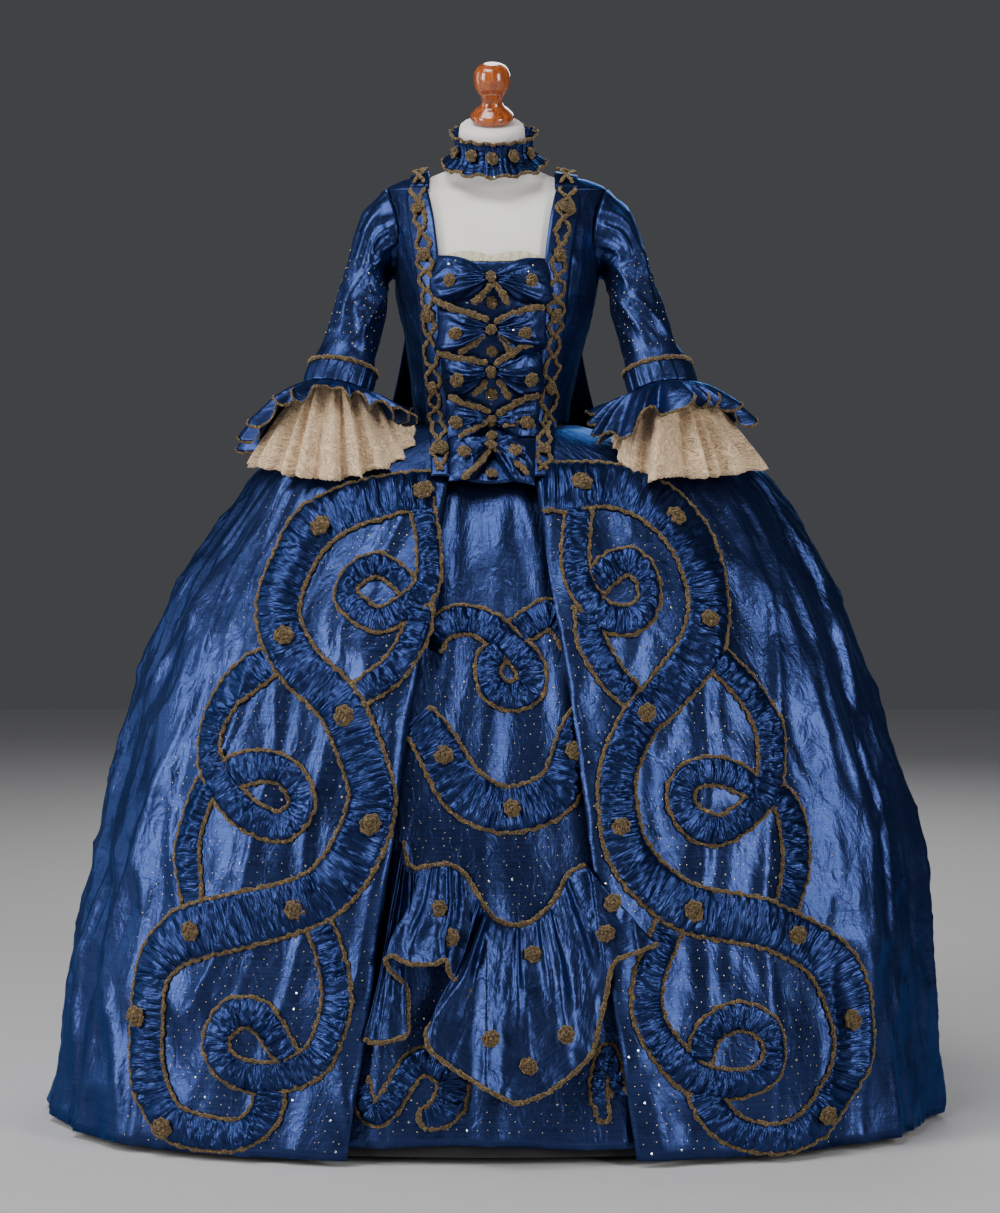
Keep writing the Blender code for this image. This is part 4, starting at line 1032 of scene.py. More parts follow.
# robing guipure: two strands that cross and part down each robing
guipure = {"reach": 0.0106, "wave": 0.066, "strand": 0.0064, "lift": 0.0070,
           "rosettes": [1.345, 1.276, 1.190, 1.085, 0.985]}


def overShoulder(sign):
    # the same two strands on over the strap, and one across at the top of the shoulder
    strap = shoulderStrap(sign, *robing["strap"], guipure["lift"] + 0.0030)[:, ::sign][:13]
    rows = np.linspace(0, 8.5, 16)
    swing = 6.5 * np.sin((1.374 + rows * 0.0032) / guipure["wave"] * math.tau)
    lines = [10.5 - swing, 10.5 + swing, np.linspace(0, 21, 16)]
    parts = []
    for number, columns in enumerate(lines):
        down = rows if number < 2 else np.full(16, 8.5)
        low, left = np.minimum(down.astype(int), 11), np.minimum(columns.astype(int), 20)
        a, b = (down - low)[:, None], (columns - left)[:, None]
        path = (strap[low, left] * (1 - a) * (1 - b) + strap[low + 1, left] * a * (1 - b)
                + strap[low, left + 1] * (1 - a) * b + strap[low + 1, left + 1] * a * b)
        step = np.linalg.norm(np.diff(path, axis=0), axis=1)
        run = np.concatenate([[0], np.cumsum(step)])
        normal = unit(np.array([[0, -0.6, 1.0]]) + 0 * path)
        width = guipure["strand"] if number < 2 else 0.0082
        parts.append(braidAlong("strand", path, normal, run, width, 60 + number))
    return parts


def makeGuipure():
    z = np.linspace(0.956, 1.3765, 200)
    parts, spots = [], []
    for sign in (-1, 1):
        middle = sign * (robingInner(z) + robingOuter(z)) / 2
        for half in (-1, 1):
            swing = np.sin((z + 0.010 * np.sin(z * 31 + sign)) / guipure["wave"] * math.tau)
            swing = guipure["reach"] * (0.9 + 0.16 * np.sin(z * 47 + sign)) * swing
            swing = swing + 0.0011 * np.sin(z * 310 + half) + 0.0008 * np.sin(z * 517)
            line = np.stack([middle + half * swing, z], axis=1)
            parts.append(braidOn("strand", line, onGown, guipure["lift"] + 0.0005 * half, guipure["strand"],
                                 seed=21 + half + 3 * sign))
        spots += [(sign * (robingInner(h) + robingOuter(h)) / 2, h) for h in guipure["rosettes"]]
        parts += overShoulder(sign)
    place(joined("robingGuipure", parts), "ruched_silk")
    sewRosettes("robingRosettes", spotsOn(onGown, spots, 0.0098, 0.80, 31))


makeGuipure()

# bows down the stomacher: a stuffed panel pinched in the middle by its knot
bows = {
    # heights of its middle and its knot, then half its width and half its height
    "rows": [(1.2400, 1.2425, 0.0880, 0.0335), (1.1680, 1.1700, 0.0800, 0.0345),
             (1.1040, 1.1090, 0.0765, 0.0330), (1.0365, 1.0385, 0.0690, 0.0325),
             (0.9735, 0.9870, 0.0630, 0.0320)],
    "puff": 0.0165,
    "base": 0.0042,
    "tieRise": ([0, 0.012, 0.04, 0.08], [0.0135, 0.0125, 0.0180, 0.0105]),   # by how far it is across
}


def bowSheet(number, centreZ, knotZ, halfWide, halfHigh):
    a = power(np.linspace(-1, 1, 85), 1.15)[None]
    v = np.linspace(-1, 1, 37)[:, None]
    reach = np.abs(a)
    pinch = 0.17 + 0.83 * np.sin(np.clip(reach / 0.62, 0, 1) * math.pi / 2) ** 1.1
    edge = 1 + 0.035 * np.sin(reach * 9 + number) * reach
    z = centreZ + halfHigh * v * pinch * edge + (knotZ - centreZ) * (1 - smoothStep(0, 0.6, reach))
    z = z - 0.0030 * reach**2 * np.sign(a) * (1 if number % 2 else -1)
    x = halfWide * a * (1 + 0.020 * np.cos(v * 2.6 + number))
    body = np.clip(np.sin(np.clip(reach, 0, 1) ** 0.75 * math.pi), 0, 1) ** 0.55 * 0.86
    body = body + 0.14 * (1 - reach**6)
    pillow = np.clip(1 - np.abs(v) ** 2.6, 0, 1) ** 0.6
    aim = np.arctan2(v * pinch * halfHigh, reach * halfWide + 0.004)
    rng = np.random.default_rng(number + 60)
    folds = np.zeros(np.broadcast(a, v).shape)
    for _ in range(10):
        start, width = rng.uniform(-0.80, 0.80), rng.uniform(0.038, 0.075)
        bend, length, high = rng.uniform(-0.30, 0.30), rng.uniform(0.45, 1.05), rng.uniform(0.0040, 0.0078)
        for sign in (-1, 1):
            away = (aim - start * rng.uniform(0.8, 1.2) - bend * reach) / (width * (0.6 + reach))
            ridge = high * np.exp(-(away**2)) * smoothStep(length + 0.2, length - 0.2, reach)
            folds = folds + np.where(np.sign(a) == sign, ridge, 0)
    folds = folds * smoothStep(0.0, 0.12, reach) * pillow**0.5
    crush = 0.0016 * creased(x * 1.1, z, 0.030, 80 + number) + 0.0022 * cloudy(x, z, 0.030, 90 + number)
    out = bows["base"] + bows["puff"] * body * pillow * (0.62 + 0.38 * smoothStep(0, 0.4, reach)) - 0.0035
    out = out + folds + crush * pillow
    grid = onGown(x + 0 * v, z, np.maximum(out, 0.0030))
    makePanel(f"bowSilk_{number}", grid, blueSilk, 0.0010, (halfWide * 3, halfHigh * 3), "blue_silk",
              f"bow_{number}", flat=(halfWide * 2.5, halfHigh * 2.5), held="gathered",
              rests_on=["stomacherSilk"])


def bowTies():
    # flat gimp ties: out from each knot to the bow's corners and down past the next one
    rows = [((-0.081, 1.2135), (-0.0035, 1.1830)), ((0.073, 1.2020), (0.0030, 1.1800)),
            ((-0.076, 1.1390), (-0.0060, 1.1215)), ((0.063, 1.1530), (0.0030, 1.1190)),
            ((-0.058, 1.0750), (-0.0010, 1.0510)), ((0.064, 1.0750), (0.0060, 1.0470)),
            ((-0.0010, 1.2330), (-0.0270, 1.2060)), ((0.0010, 1.2330), (0.0240, 1.2050)),
            ((-0.0100, 1.1640), (-0.0450, 1.1360)), ((0.0090, 1.1640), (0.0300, 1.1300)),
            ((-0.0070, 1.0970), (-0.0260, 1.0750)), ((0.0070, 1.0970), (0.0240, 1.0690)),
            ((-0.0070, 1.0240), (-0.0480, 0.9960)), ((0.0620, 1.0130), (0.0150, 1.0150)),
            ((-0.0030, 0.9820), (-0.0420, 0.9370)), ((0.0030, 0.9820), (0.0530, 0.9450))]
    parts = []
    for index, (start, end) in enumerate(rows):
        start, end = np.array(start), np.array(end)
        bend = np.array([0, 0.0055 * (1 if index % 2 else -0.4)])
        line = [start, start + (end - start) * 0.35 + bend, start + (end - start) * 0.7 + bend * 0.5, end]
        rise = np.interp(np.abs([p[0] for p in line]), *bows["tieRise"])
        line = smoothLine(np.column_stack([line, rise]), 0.0028)
        path = onGown(line[:, 0], line[:, 1], line[:, 2])
        over = onGown(line[:, 0], line[:, 1], line[:, 2] + 0.003)
        run = np.arange(len(line)) * 0.0028
        parts.append(braidAlong("tie", path, unit(over - path), run, 0.0098, 40 + index))
    return parts


def heightOver(sight, x, z):
    # how far the silk met from in front stands off the gown there
    point = bpy.context.scene.ray_cast(sight, (x, -2.0, z), (0, 1, 0))[1]
    return float(onGown(x, z, 0.0)[..., 1]) - point.y


def makeBows():
    for number, row in enumerate(bows["rows"], 1):
        bowSheet(number, *row)
    bpy.context.view_layer.update()
    sight = bpy.context.evaluated_depsgraph_get()
    place(joined("bowTies", bowTies()), "ruched_silk")
    spots, lifts, scales = [], [], []
    for number, (centreZ, knotZ, halfWide, _) in enumerate(bows["rows"], 1):
        spots.append((-0.0010, knotZ))
        lifts.append(0.0150)
        scales.append(0.66)
        for sign in (-1, 1):
            spots.append((sign * (halfWide * 0.60 + 0.004 * math.sin(number * 2 + sign)), centreZ - 0.003))
            lifts.append(heightOver(sight, *spots[-1]) + 0.0022)
            scales.append(0.72)
    for z in (1.2080, 1.1370, 1.0750, 1.0060, 0.9530):
        spots.append((0.0, z))
        lifts.append(heightOver(sight, 0.0, z) + 0.0024)
        scales.append(0.68)
    places = []
    for spot, lift, scale in zip(spots, lifts, scales):
        places += spotsOn(onGown, [spot], lift, scale, int(spot[1] * 1000))
    sewRosettes("bowRosettes", places)


makeBows()
print("bows made")


# sleeves: rings from the elbow up to the armhole, as the right sleeve
sleeveShape = {
    "innerX": [0.1860, 0.1720, 0.1620, 0.1590, 0.1560, 0.1530],
    "innerZ": [1.1030, 1.1560, 1.2020, 1.2290, 1.2410, 1.2480],
    "outerX": [0.2770, 0.2540, 0.2370, 0.2200, 0.2000, 0.1640],
    "outerZ": [1.1210, 1.1780, 1.2360, 1.2950, 1.3500, 1.3800],
    "y": [-0.078, -0.062, -0.044, -0.026, -0.010, 0.002],
    "deep": [0.0480, 0.0490, 0.0510, 0.0550, 0.0580, 0.0580],
    "slope": [-0.32, -0.28, -0.20, -0.12, -0.05, 0.0],
    "hollow": [0, 0, 0, 0, 0.003, 0.014],
    "swing": (0.0125, 0.0065),   # both sleeves hang a little towards +X, at the elbow and at the armhole
    "round": 0.048,
    "long": 0.235,
}
# folds of a sleeve, each from one place to another: round from its front, up from the elbow, width and height
sleeveFolds = {
    "left": [(0.036, 0.235, 0.020, 0.085, 0.0085, 0.0060), (0.010, 0.232, 0.002, 0.135, 0.0050, 0.0048),
             (-0.010, 0.228, -0.014, 0.150, 0.0045, 0.0045), (-0.030, 0.205, 0.026, 0.060, 0.0085, 0.0060),
             (0.058, 0.190, 0.020, 0.045, 0.0095, 0.0055), (-0.055, 0.130, -0.012, 0.030, 0.0090, 0.0055),
             (0.062, 0.100, 0.050, 0.012, 0.0090, 0.0038), (0.006, 0.075, -0.034, 0.018, 0.0070, 0.0042),
             (0.120, 0.200, 0.150, 0.050, 0.0120, 0.0055), (-0.110, 0.150, -0.130, 0.030, 0.0110, 0.0050),
             (0.090, 0.170, 0.105, 0.020, 0.0100, 0.0050)],
    "right": [(0.030, 0.236, 0.034, 0.120, 0.0080, 0.0060), (0.008, 0.232, 0.016, 0.150, 0.0048, 0.0050),
              (-0.012, 0.230, -0.006, 0.160, 0.0050, 0.0048), (-0.030, 0.210, -0.010, 0.105, 0.0080, 0.0058),
              (0.052, 0.190, 0.030, 0.070, 0.0090, 0.0050), (-0.050, 0.120, 0.000, 0.025, 0.0100, 0.0060),
              (-0.020, 0.095, 0.034, 0.035, 0.0085, 0.0046), (0.060, 0.080, 0.040, 0.010, 0.0080, 0.0035),
              (0.115, 0.210, 0.140, 0.060, 0.0120, 0.0055), (-0.105, 0.160, -0.125, 0.040, 0.0110, 0.0050),
              (0.085, 0.150, 0.110, 0.020, 0.0100, 0.0050)],
}
cuffShape = {
    "axis": (-0.165, 0.30, 0.94),
    "joint": (0.2315, -0.078, 1.1125),
    "drop": (0.0085, -0.0105, -0.0320),
    "pleats": 17,
}


def foldLines(a, b, rows):
    # soft ridges along straight lines, each fading at its ends
    total = np.zeros(np.broadcast(a, b).shape)
    for a0, b0, a1, b1, width, height in rows:
        da, db = a1 - a0, b1 - b0
        t = np.clip(((a - a0) * da + (b - b0) * db) / (da * da + db * db), 0, 1)
        away = np.hypot(a - a0 - t * da, b - b0 - t * db)
        total = total + height * np.exp(-((away / width) ** 2)) * (0.35 + 0.65 * np.sin(t * math.pi) ** 0.6)
    return total


def sleevePlace(turn, v):
    row = v * 5
    curves = {key: values for key, values in sleeveShape.items() if isinstance(values, list)}
    at = {key: readCurve(range(6), values)(row) for key, values in curves.items()}
    middleX, middleZ = (at["innerX"] + at["outerX"]) / 2, (at["innerZ"] + at["outerZ"]) / 2
    halfX, halfZ = (at["outerX"] - at["innerX"]) / 2, (at["outerZ"] - at["innerZ"]) / 2
    y = at["deep"] * np.sin(turn)
    x = middleX + halfX * np.cos(turn) - at["hollow"] * np.sin(turn) ** 2
    z = middleZ + halfZ * np.cos(turn) + at["slope"] * y
    return np.stack(np.broadcast_arrays(x, at["y"] + y, z), axis=-1)


def sleevePoint(turn, v, sign, out):
    around = sleevePlace(turn + 0.01, v) - sleevePlace(turn - 0.01, v)
    upward = sleevePlace(turn, np.minimum(v + 0.01, 1)) - sleevePlace(turn, np.maximum(v - 0.01, 0))
    point = sleevePlace(turn, v) + unit(np.cross(around, upward)) * np.asarray(out)[..., None]
    point = point * np.array([sign, 1, 1])
    atElbow, atTop = sleeveShape["swing"]
    point[..., 0] += atElbow + (atTop - atElbow) * v
    return point


def sleeveLift(turn, v, side):
    a = ((turn - 1.5 * math.pi + math.pi) % math.tau - math.pi) * sleeveShape["round"]
    b = v * sleeveShape["long"]
    lift = foldLines(a, b, sleeveFolds[side])
    seed = 110 if side == "left" else 120
    lift = lift + 0.0013 * creased(a, b * 0.7, 0.030, seed) + 0.0012 * cloudy(a, b, 0.035, seed + 1)
    gathers = 0.0022 * np.abs(np.sin(a * 190)) ** 0.7 * smoothStep(0.80, 0.97, v) * smoothStep(1.0, 0.985, v)
    return (lift - 0.0045) * smoothStep(0.0, 0.10, v) * smoothStep(1.0, 0.90, v) + gathers


def armRing(centre, side, deep, turn):
    axis = unit(np.array(cuffShape["axis"]))
    outward = unit(np.cross((0, 1, 0), axis))
    back = np.cross(axis, outward)
    turn = np.asarray(turn)
    return centre + outward * (side * np.cos(turn))[..., None] + back * (deep * np.sin(turn))[..., None]


# ruffles: angle from the outer side round by the back, how far the hem stands out, and how far it falls
ruffles = {
    "flounce": {
        "left": [(0, 0.080, 0.080), (45, 0.075, 0.116), (90, 0.060, 0.112), (135, 0.052, 0.088),
                 (180, 0.060, 0.044), (225, 0.050, 0.032), (270, 0.036, 0.020), (315, 0.046, 0.024)],
        "right": [(0, 0.072, 0.056), (45, 0.066, 0.092), (90, 0.058, 0.100), (135, 0.050, 0.090),
                  (180, 0.048, 0.076), (225, 0.052, 0.072), (270, 0.044, 0.038), (315, 0.052, 0.030)],
        "waves": 16, "wave": 0.0150, "inset": 0.0, "wall": 0.0011, "floor": 0.031, "across": 199, "down": 22,
    },
    "lace": {
        "left": [(0, 0.069, 0.112), (45, 0.058, 0.122), (90, 0.045, 0.120), (135, 0.050, 0.106),
                 (180, 0.078, 0.076), (225, 0.062, 0.112), (270, 0.052, 0.138), (315, 0.050, 0.134)],
        "right": [(0, 0.088, 0.120), (45, 0.068, 0.124), (90, 0.045, 0.120), (135, 0.040, 0.108),
                  (180, 0.030, 0.098), (225, 0.042, 0.128), (270, 0.056, 0.140), (315, 0.064, 0.134)],
        "waves": 14, "wave": 0.0175, "inset": 0.006, "wall": 0.0007, "floor": 0.009,
        "across": 261, "down": 30,
    },
}


def ruffleGrid(kind, side, sign):
    hang = ruffles[kind]
    turn = np.linspace(0, math.tau, hang["across"])
    angle, spread, fall = np.array(hang[side], float).T
    loop = lambda values: readCurve(np.concatenate([angle - 360, angle, angle + 360]), np.tile(values, 3))
    spread, fall = loop(spread)(np.degrees(turn)), loop(fall)(np.degrees(turn))
    axis = unit(np.array(cuffShape["axis"]))
    low = np.array(cuffShape["joint"]) - axis * 0.0021 + np.array(cuffShape["drop"])
    top = armRing(low, 0.0500 - hang["inset"], 0.0505 - hang["inset"], turn)
    away = top - low
    away[:, 2] = 0
    away = unit(away)
    if kind == "lace" and side == "right":
        away = away + np.array([0.03, 0, 0])
    v = np.linspace(0, 1, hang["down"])[:, None]
    warp = turn + 0.20 * np.sin(turn * 3 + (1 if side == "left" else 2.2)) + 0.10 * np.sin(turn * 7)
    phase = warp * hang["waves"] + 0.25 * v
    swing = power(np.sin(phase), 0.75 if kind == "lace" else 0.9)
    strength = 1 + 0.35 * np.sin(turn * 4 + 1) + 0.2 * np.sin(turn * 9)
    if kind == "lace":
        flat = smoothStep(140, 165, np.degrees(turn)) * smoothStep(238, 214, np.degrees(turn))
        strength = strength * (1 - 0.75 * flat)
    out = spread * v ** (0.80 if kind == "flounce" else 0.95)
    out = out + hang["wave"] * strength * swing * (0.22 + 0.78 * v**0.9) * smoothStep(0, 0.06, v)
    small = 0.0012 * np.sin(warp * hang["waves"] * 3.7) * np.exp(-v * 3.0) * smoothStep(0, 0.05, v)
    drop = fall * v ** (1.35 if kind == "flounce" else 1.12)
    drop = drop + 0.75 * hang["wave"] * np.cos(phase) * v**2 * (1 if kind == "flounce" else 0.25)
    if kind == "lace":
        drop = drop + 0.0022 * np.abs(np.sin(turn * 46)) * smoothStep(0.93, 1.0, v)
    grid = top[None] + away[None] * (out + small)[..., None]
    grid[..., 2] = top[None, :, 2] - drop
    curl = 0.0016 * creased(turn[None] * 0.10, v * 0.08, 0.03, 130) * v
    grid = grid + away[None] * curl[..., None]
    lowest = np.array([skirtTop(x, y) for x, y in zip(grid[-1, :, 0], grid[-1, :, 1])]) + hang["floor"]
    short = np.clip(lowest - grid[-1, :, 2], 0, None)
    grid[..., 2] += short[None] * v**1.2
    grid = onArm(grid[::-1], sign)
    return grid if sign > 0 else grid[:, ::-1]


def onArm(points, sign):
    return points * np.array([sign, 1, 1]) + np.array([sleeveShape["swing"][0], 0, 0])


def ringBraid(name, ring, lift, width, seed):
    # braid along a closed edge, sewn on its outer side
    middle = ring.mean(axis=0)
    line = evenLine(ring, gimp["step"])
    flat = line - middle
    flat[:, 2] *= 0.4
    normal = unit(flat)
    return braidAlong(name, line + normal * lift, normal, np.arange(len(line)) * gimp["step"], width, seed)


def makeSleeves():
    axis = unit(np.array(cuffShape["axis"]))
    joint = np.array(cuffShape["joint"]) - axis * 0.0015
    low = joint + np.array(cuffShape["drop"])
    for side, sign in (("right", 1), ("left", -1)):
        turn = np.linspace(0, math.tau, 105)[None]
        v = np.linspace(0, 1, 74)[:, None]
        grid = sleevePoint(turn + 0 * v, v + 0 * turn, sign, sleeveLift(turn + 0 * v, v + 0 * turn, side))
        makePanel(f"sleeveSilk_{side}", grid, blueSilk, 0.0011, (0.31, 0.27), "blue_silk", f"sleeve_{side}",
                  sign, ring=True, flat=(0.34, 0.27), held="hung", rests_on=[f"bodiceFront_{side}"],
                  area=0.075)

        turn = np.linspace(0, math.tau, cuffShape["pleats"] * 10 + 1)[None]
        v = np.linspace(0, 1, 13)[:, None]
        saw = (turn / math.tau * cuffShape["pleats"] + 0.10 * v) % 1.0
        pleat = 0.0028 * np.where(saw < 0.86, saw / 0.86, (1 - saw) / 0.14)
        pleat = pleat * (0.55 + 0.45 * np.sin(v * math.pi))
        top, base = armRing(joint, 0.0490, 0.0495, turn), armRing(low, 0.0500, 0.0505, turn)
        v = v[..., None]
        grid = base * (1 - v) + top * v
        grid = grid + unit(grid - (low * (1 - v) + joint * v)) * (pleat + 0.0004)[..., None]
        makePanel(f"cuffSilk_{side}", onArm(grid, sign), blueSilk, 0.0011, (0.34, 0.036), "blue_silk",
                  f"cuff_{side}", sign, ring=True, flat=(0.40, 0.036), held="gathered",
                  rests_on=[f"sleeveSilk_{side}"])
        top = onArm(armRing(joint + axis * 0.0006, 0.0515, 0.0520, np.linspace(0, math.tau, 160)), sign)
        braids = [ringBraid("cuffBraid", top, 0.0008, 0.0062, 300 + sign)]

        grid = ruffleGrid("flounce", side, sign)
        makePanel(f"flounceSilk_{side}", grid, blueSilk, ruffles["flounce"]["wall"], (0.7, 0.11), "blue_silk",
                  f"sleeve_flounce_{side}", ring=True, flat=(0.78, 0.11), held="gathered",
                  rests_on=[f"cuffSilk_{side}"], area=0.052)
        braids.append(ringBraid("hemBraid", grid[0], 0.0006, 0.0046, 310 + sign))
        place(joined(f"sleeveBraid_{side}", braids), "ruched_silk")

        grid = ruffleGrid("lace", side, sign)
        makePanel(f"laceRuffle_{side}", grid, beigeLace, ruffles["lace"]["wall"], (0.75, 0.16), "lace",
                  f"sleeve_lace_{side}", ring=True, flat=(0.85, 0.16), held="gathered",
                  rests_on=[f"cuffSilk_{side}"], area=0.080)


makeSleeves()
print("sleeves made")

# petticoat trims: across, up and how wide the band is there
petticoatTrims = {
    "volute": [(-0.090, 0.720, 0.040), (-0.072, 0.747, 0.041), (-0.019, 0.756, 0.040), (0.044, 0.707, 0.041),
               (0.057, 0.682, 0.042), (0.051, 0.660, 0.042), (0.025, 0.651, 0.039), (0.004, 0.660, 0.038),
               (-0.005, 0.683, 0.034), (-0.002, 0.702, 0.038), (0.012, 0.712, 0.034), (0.028, 0.712, 0.025)],
    "branch": [(0.030, 0.737, 0.037), (0.069, 0.762, 0.043), (0.090, 0.764, 0.043), (0.107, 0.749, 0.043),
               (0.120, 0.720, 0.040)],
    "swag": [(-0.109, 0.621, 0.051), (-0.081, 0.587, 0.058), (-0.037, 0.518, 0.067), (0.026, 0.494, 0.064),
             (0.095, 0.522, 0.062), (0.120, 0.596, 0.048), (0.136, 0.629, 0.039)],
    "footLeft": [(-0.183, 0.126, 0.021), (-0.180, 0.099, 0.025), (-0.170, 0.077, 0.033),
                 (-0.149, 0.081, 0.032), (-0.105, 0.144, 0.036), (-0.062, 0.135, 0.043),
                 (-0.054, 0.112, 0.043), (-0.061, 0.087, 0.044), (-0.076, 0.073, 0.038),
                 (-0.093, 0.068, 0.030)],
    "footRight": [(0.180, 0.097, 0.021), (0.164, 0.159, 0.022), (0.150, 0.113, 0.022), (0.157, 0.071, 0.018)],
    "rosettes": [(-0.068, 0.568), (0.029, 0.495), (0.117, 0.573)],
}


def makePetticoatTrims():
    braids = []
    for seed, (name, piece, node) in enumerate((
            ("petticoatVolute", "volute", "petticoat_volute"),
            ("petticoatBranch", "branch", "petticoat_branch"),
            ("petticoatSwag", "swag", "petticoat_swag"),
            ("footScroll_left", "footLeft", "foot_scroll_left"),
            ("footScroll_right", "footRight", "foot_scroll_right"))):
        braids += ruchedBand(name, node, petticoatTrims[piece], onPetticoat, 400 + seed * 5,
                             0.0030 if piece == "footRight" else 0.0046, freeEnd=piece.startswith("foot"))
    place(joined("petticoatBraid", braids), "ruched_silk")
    sewRosettes("petticoatRosettes", spotsOn(onPetticoat, petticoatTrims["rosettes"], 0.0112, 1.0, 55))


makePetticoatTrims()

# the petticoat's flounce: gathered along its top edge, with a hem that doubles back between its falls
flounce = {
    # share along it, then the top edge across and up, then the hem across, up and how far it stands out
    "rows": [(0.000, -0.128, 0.450, -0.180, 0.178, 0.012), (0.050, -0.126, 0.431, -0.166, 0.172, 0.014),
             (0.100, -0.123, 0.419, -0.146, 0.173, 0.016), (0.150, -0.120, 0.416, -0.122, 0.182, 0.018),
             (0.190, -0.116, 0.414, -0.126, 0.194, 0.015), (0.225, -0.112, 0.412, -0.128, 0.252, 0.012),
             (0.260, -0.107, 0.412, -0.148, 0.268, 0.018), (0.290, -0.103, 0.413, -0.153, 0.285, 0.026),
             (0.320, -0.098, 0.415, -0.140, 0.293, 0.030), (0.360, -0.088, 0.416, -0.112, 0.280, 0.034),
             (0.400, -0.074, 0.419, -0.076, 0.280, 0.034), (0.430, -0.061, 0.418, -0.064, 0.290, 0.030),
             (0.460, -0.050, 0.412, -0.064, 0.264, 0.020), (0.490, -0.040, 0.404, -0.036, 0.249, 0.022),
             (0.520, -0.031, 0.390, -0.042, 0.224, 0.020), (0.550, -0.023, 0.376, -0.078, 0.207, 0.018),
             (0.580, -0.016, 0.363, -0.093, 0.191, 0.022), (0.610, -0.009, 0.352, -0.086, 0.165, 0.028),
             (0.650, 0.002, 0.342, -0.052, 0.140, 0.034), (0.700, 0.018, 0.336, -0.006, 0.111, 0.038),
             (0.740, 0.034, 0.334, 0.030, 0.090, 0.040), (0.790, 0.054, 0.340, 0.070, 0.105, 0.038),
             (0.830, 0.070, 0.352, 0.108, 0.132, 0.034), (0.860, 0.083, 0.366, 0.137, 0.159, 0.024),
             (0.885, 0.092, 0.381, 0.148, 0.205, 0.016), (0.905, 0.098, 0.393, 0.158, 0.237, 0.014),
             (0.925, 0.103, 0.402, 0.160, 0.264, 0.022), (0.945, 0.108, 0.409, 0.166, 0.285, 0.034),
             (0.970, 0.116, 0.412, 0.190, 0.293, 0.038), (1.000, 0.130, 0.416, 0.226, 0.306, 0.036)],
    "ridges": 26,
    "rosettes": [(-0.074, 0.357, 0.026), (-0.055, 0.319, 0.033), (0.059, 0.295, 0.030), (0.001, 0.184, 0.036),
                 (0.106, 0.188, 0.032), (0.050, 0.147, 0.040), (0.168, 0.366, 0.030), (0.158, 0.326, 0.036)],
}


def flounceCurves():
    rows = np.array(flounce["rows"])
    share = rows[:, 0]
    u = np.linspace(0, 1, 280)
    fine = [np.interp(u, share, rows[:, i]) for i in range(1, 6)]
    for i, values in enumerate(fine):
        kernel = np.hanning(11 if i >= 2 else 21)
        pad = len(kernel) // 2
        before, after = 2 * values[0] - values[pad:0:-1], 2 * values[-1] - values[-2:-pad - 2:-1]
        wide = np.concatenate([before, values, after])
        fine[i] = np.convolve(wide, kernel / kernel.sum(), mode="valid")
    return u, fine


def makeFlounce():
    u, (topX, topZ, hemX, hemZ, stand) = flounceCurves()
    v = np.linspace(0, 1, 48)[:, None]
    x = topX + (hemX - topX) * v ** 1.12
    z = topZ + (hemZ - topZ) * v
    sideways = 0.006 * cloudy(u[None] * 0.5, v * 0.25, 0.10, 151) * v
    rng = np.random.default_rng(17)
    centres = np.sort(rng.uniform(0, 1, flounce["ridges"]))
    ridge = np.zeros((len(v), len(u)))
    for centre in centres:
        width = rng.uniform(0.0075, 0.0150)
        length, high = rng.uniform(0.45, 1.15), rng.uniform(0.0050, 0.0110)
        drift = rng.uniform(-0.02, 0.02)
        away = (u[None] - centre - drift * v) / (width * (0.55 + 0.75 * v))
        ridge = ridge + high * np.exp(-away**2) * smoothStep(length + 0.25, length - 0.35, v)
    gathers = 0.0024 * np.abs(np.sin(u[None] * 150 + 2 * np.sin(u[None] * 23))) ** 0.7 * np.exp(-v * 7)
    crush = 0.0022 * creased(x, z * 0.6, 0.045, 153) * v**0.5 + 0.0011 * creased(x, z, 0.02, 155)
    out = 0.0040 + stand[None] * v ** 0.75 + (ridge + gathers + crush) * smoothStep(0, 0.05, v)
    grid = onPetticoat(x + sideways + 0.004, z, out)
    aboveRobe = onRobe(grid[..., 0], grid[..., 2], 0.0060 + 0 * out)
    overPanel = grid[..., 0] > openingHalf(grid[..., 2]) - 0.004
    grid[..., 1] = np.where(overPanel, np.minimum(grid[..., 1], aboveRobe[..., 1]), grid[..., 1])
    grid = grid[::-1]
    makePanel("flounceSilk", grid, blueSilk, 0.0010, (0.9, 0.32), "blue_silk", "petticoat_flounce",
              flat=(1.10, 0.34), held="gathered", rests_on=["petticoatSilk"], area=0.145)

    braids = []
    for row, lift, width, seed in ((grid[-1], 0.0022, 0.0078, 160), (grid[0], 0.0012, 0.0068, 165)):
        line = evenLine(row, gimp["step"])
        normal = unit(np.tile(np.array([0.0, -1.0, 0.12]), (len(line), 1)))
        run = np.arange(len(line)) * gimp["step"]
        braids.append(braidAlong("edge", line + normal * lift, normal, run, width, seed))
    place(joined("flounceBraid", braids), "ruched_silk")
    places = []
    for spotX, spotZ, out in flounce["rosettes"]:
        near = np.hypot(grid[..., 0] - spotX, grid[..., 2] - spotZ)
        near = near + 0.5 * (grid[..., 1] - grid[..., 1].min())
        row, column = np.unravel_index(near.argmin(), near.shape)
        places.append((grid[row, column] + np.array([0, -0.0035, 0]), (0, -1, 0.15), 0.95, spotX * 40))
    sewRosettes("flounceRosettes", places)


makeFlounce()
print("petticoat trims made")


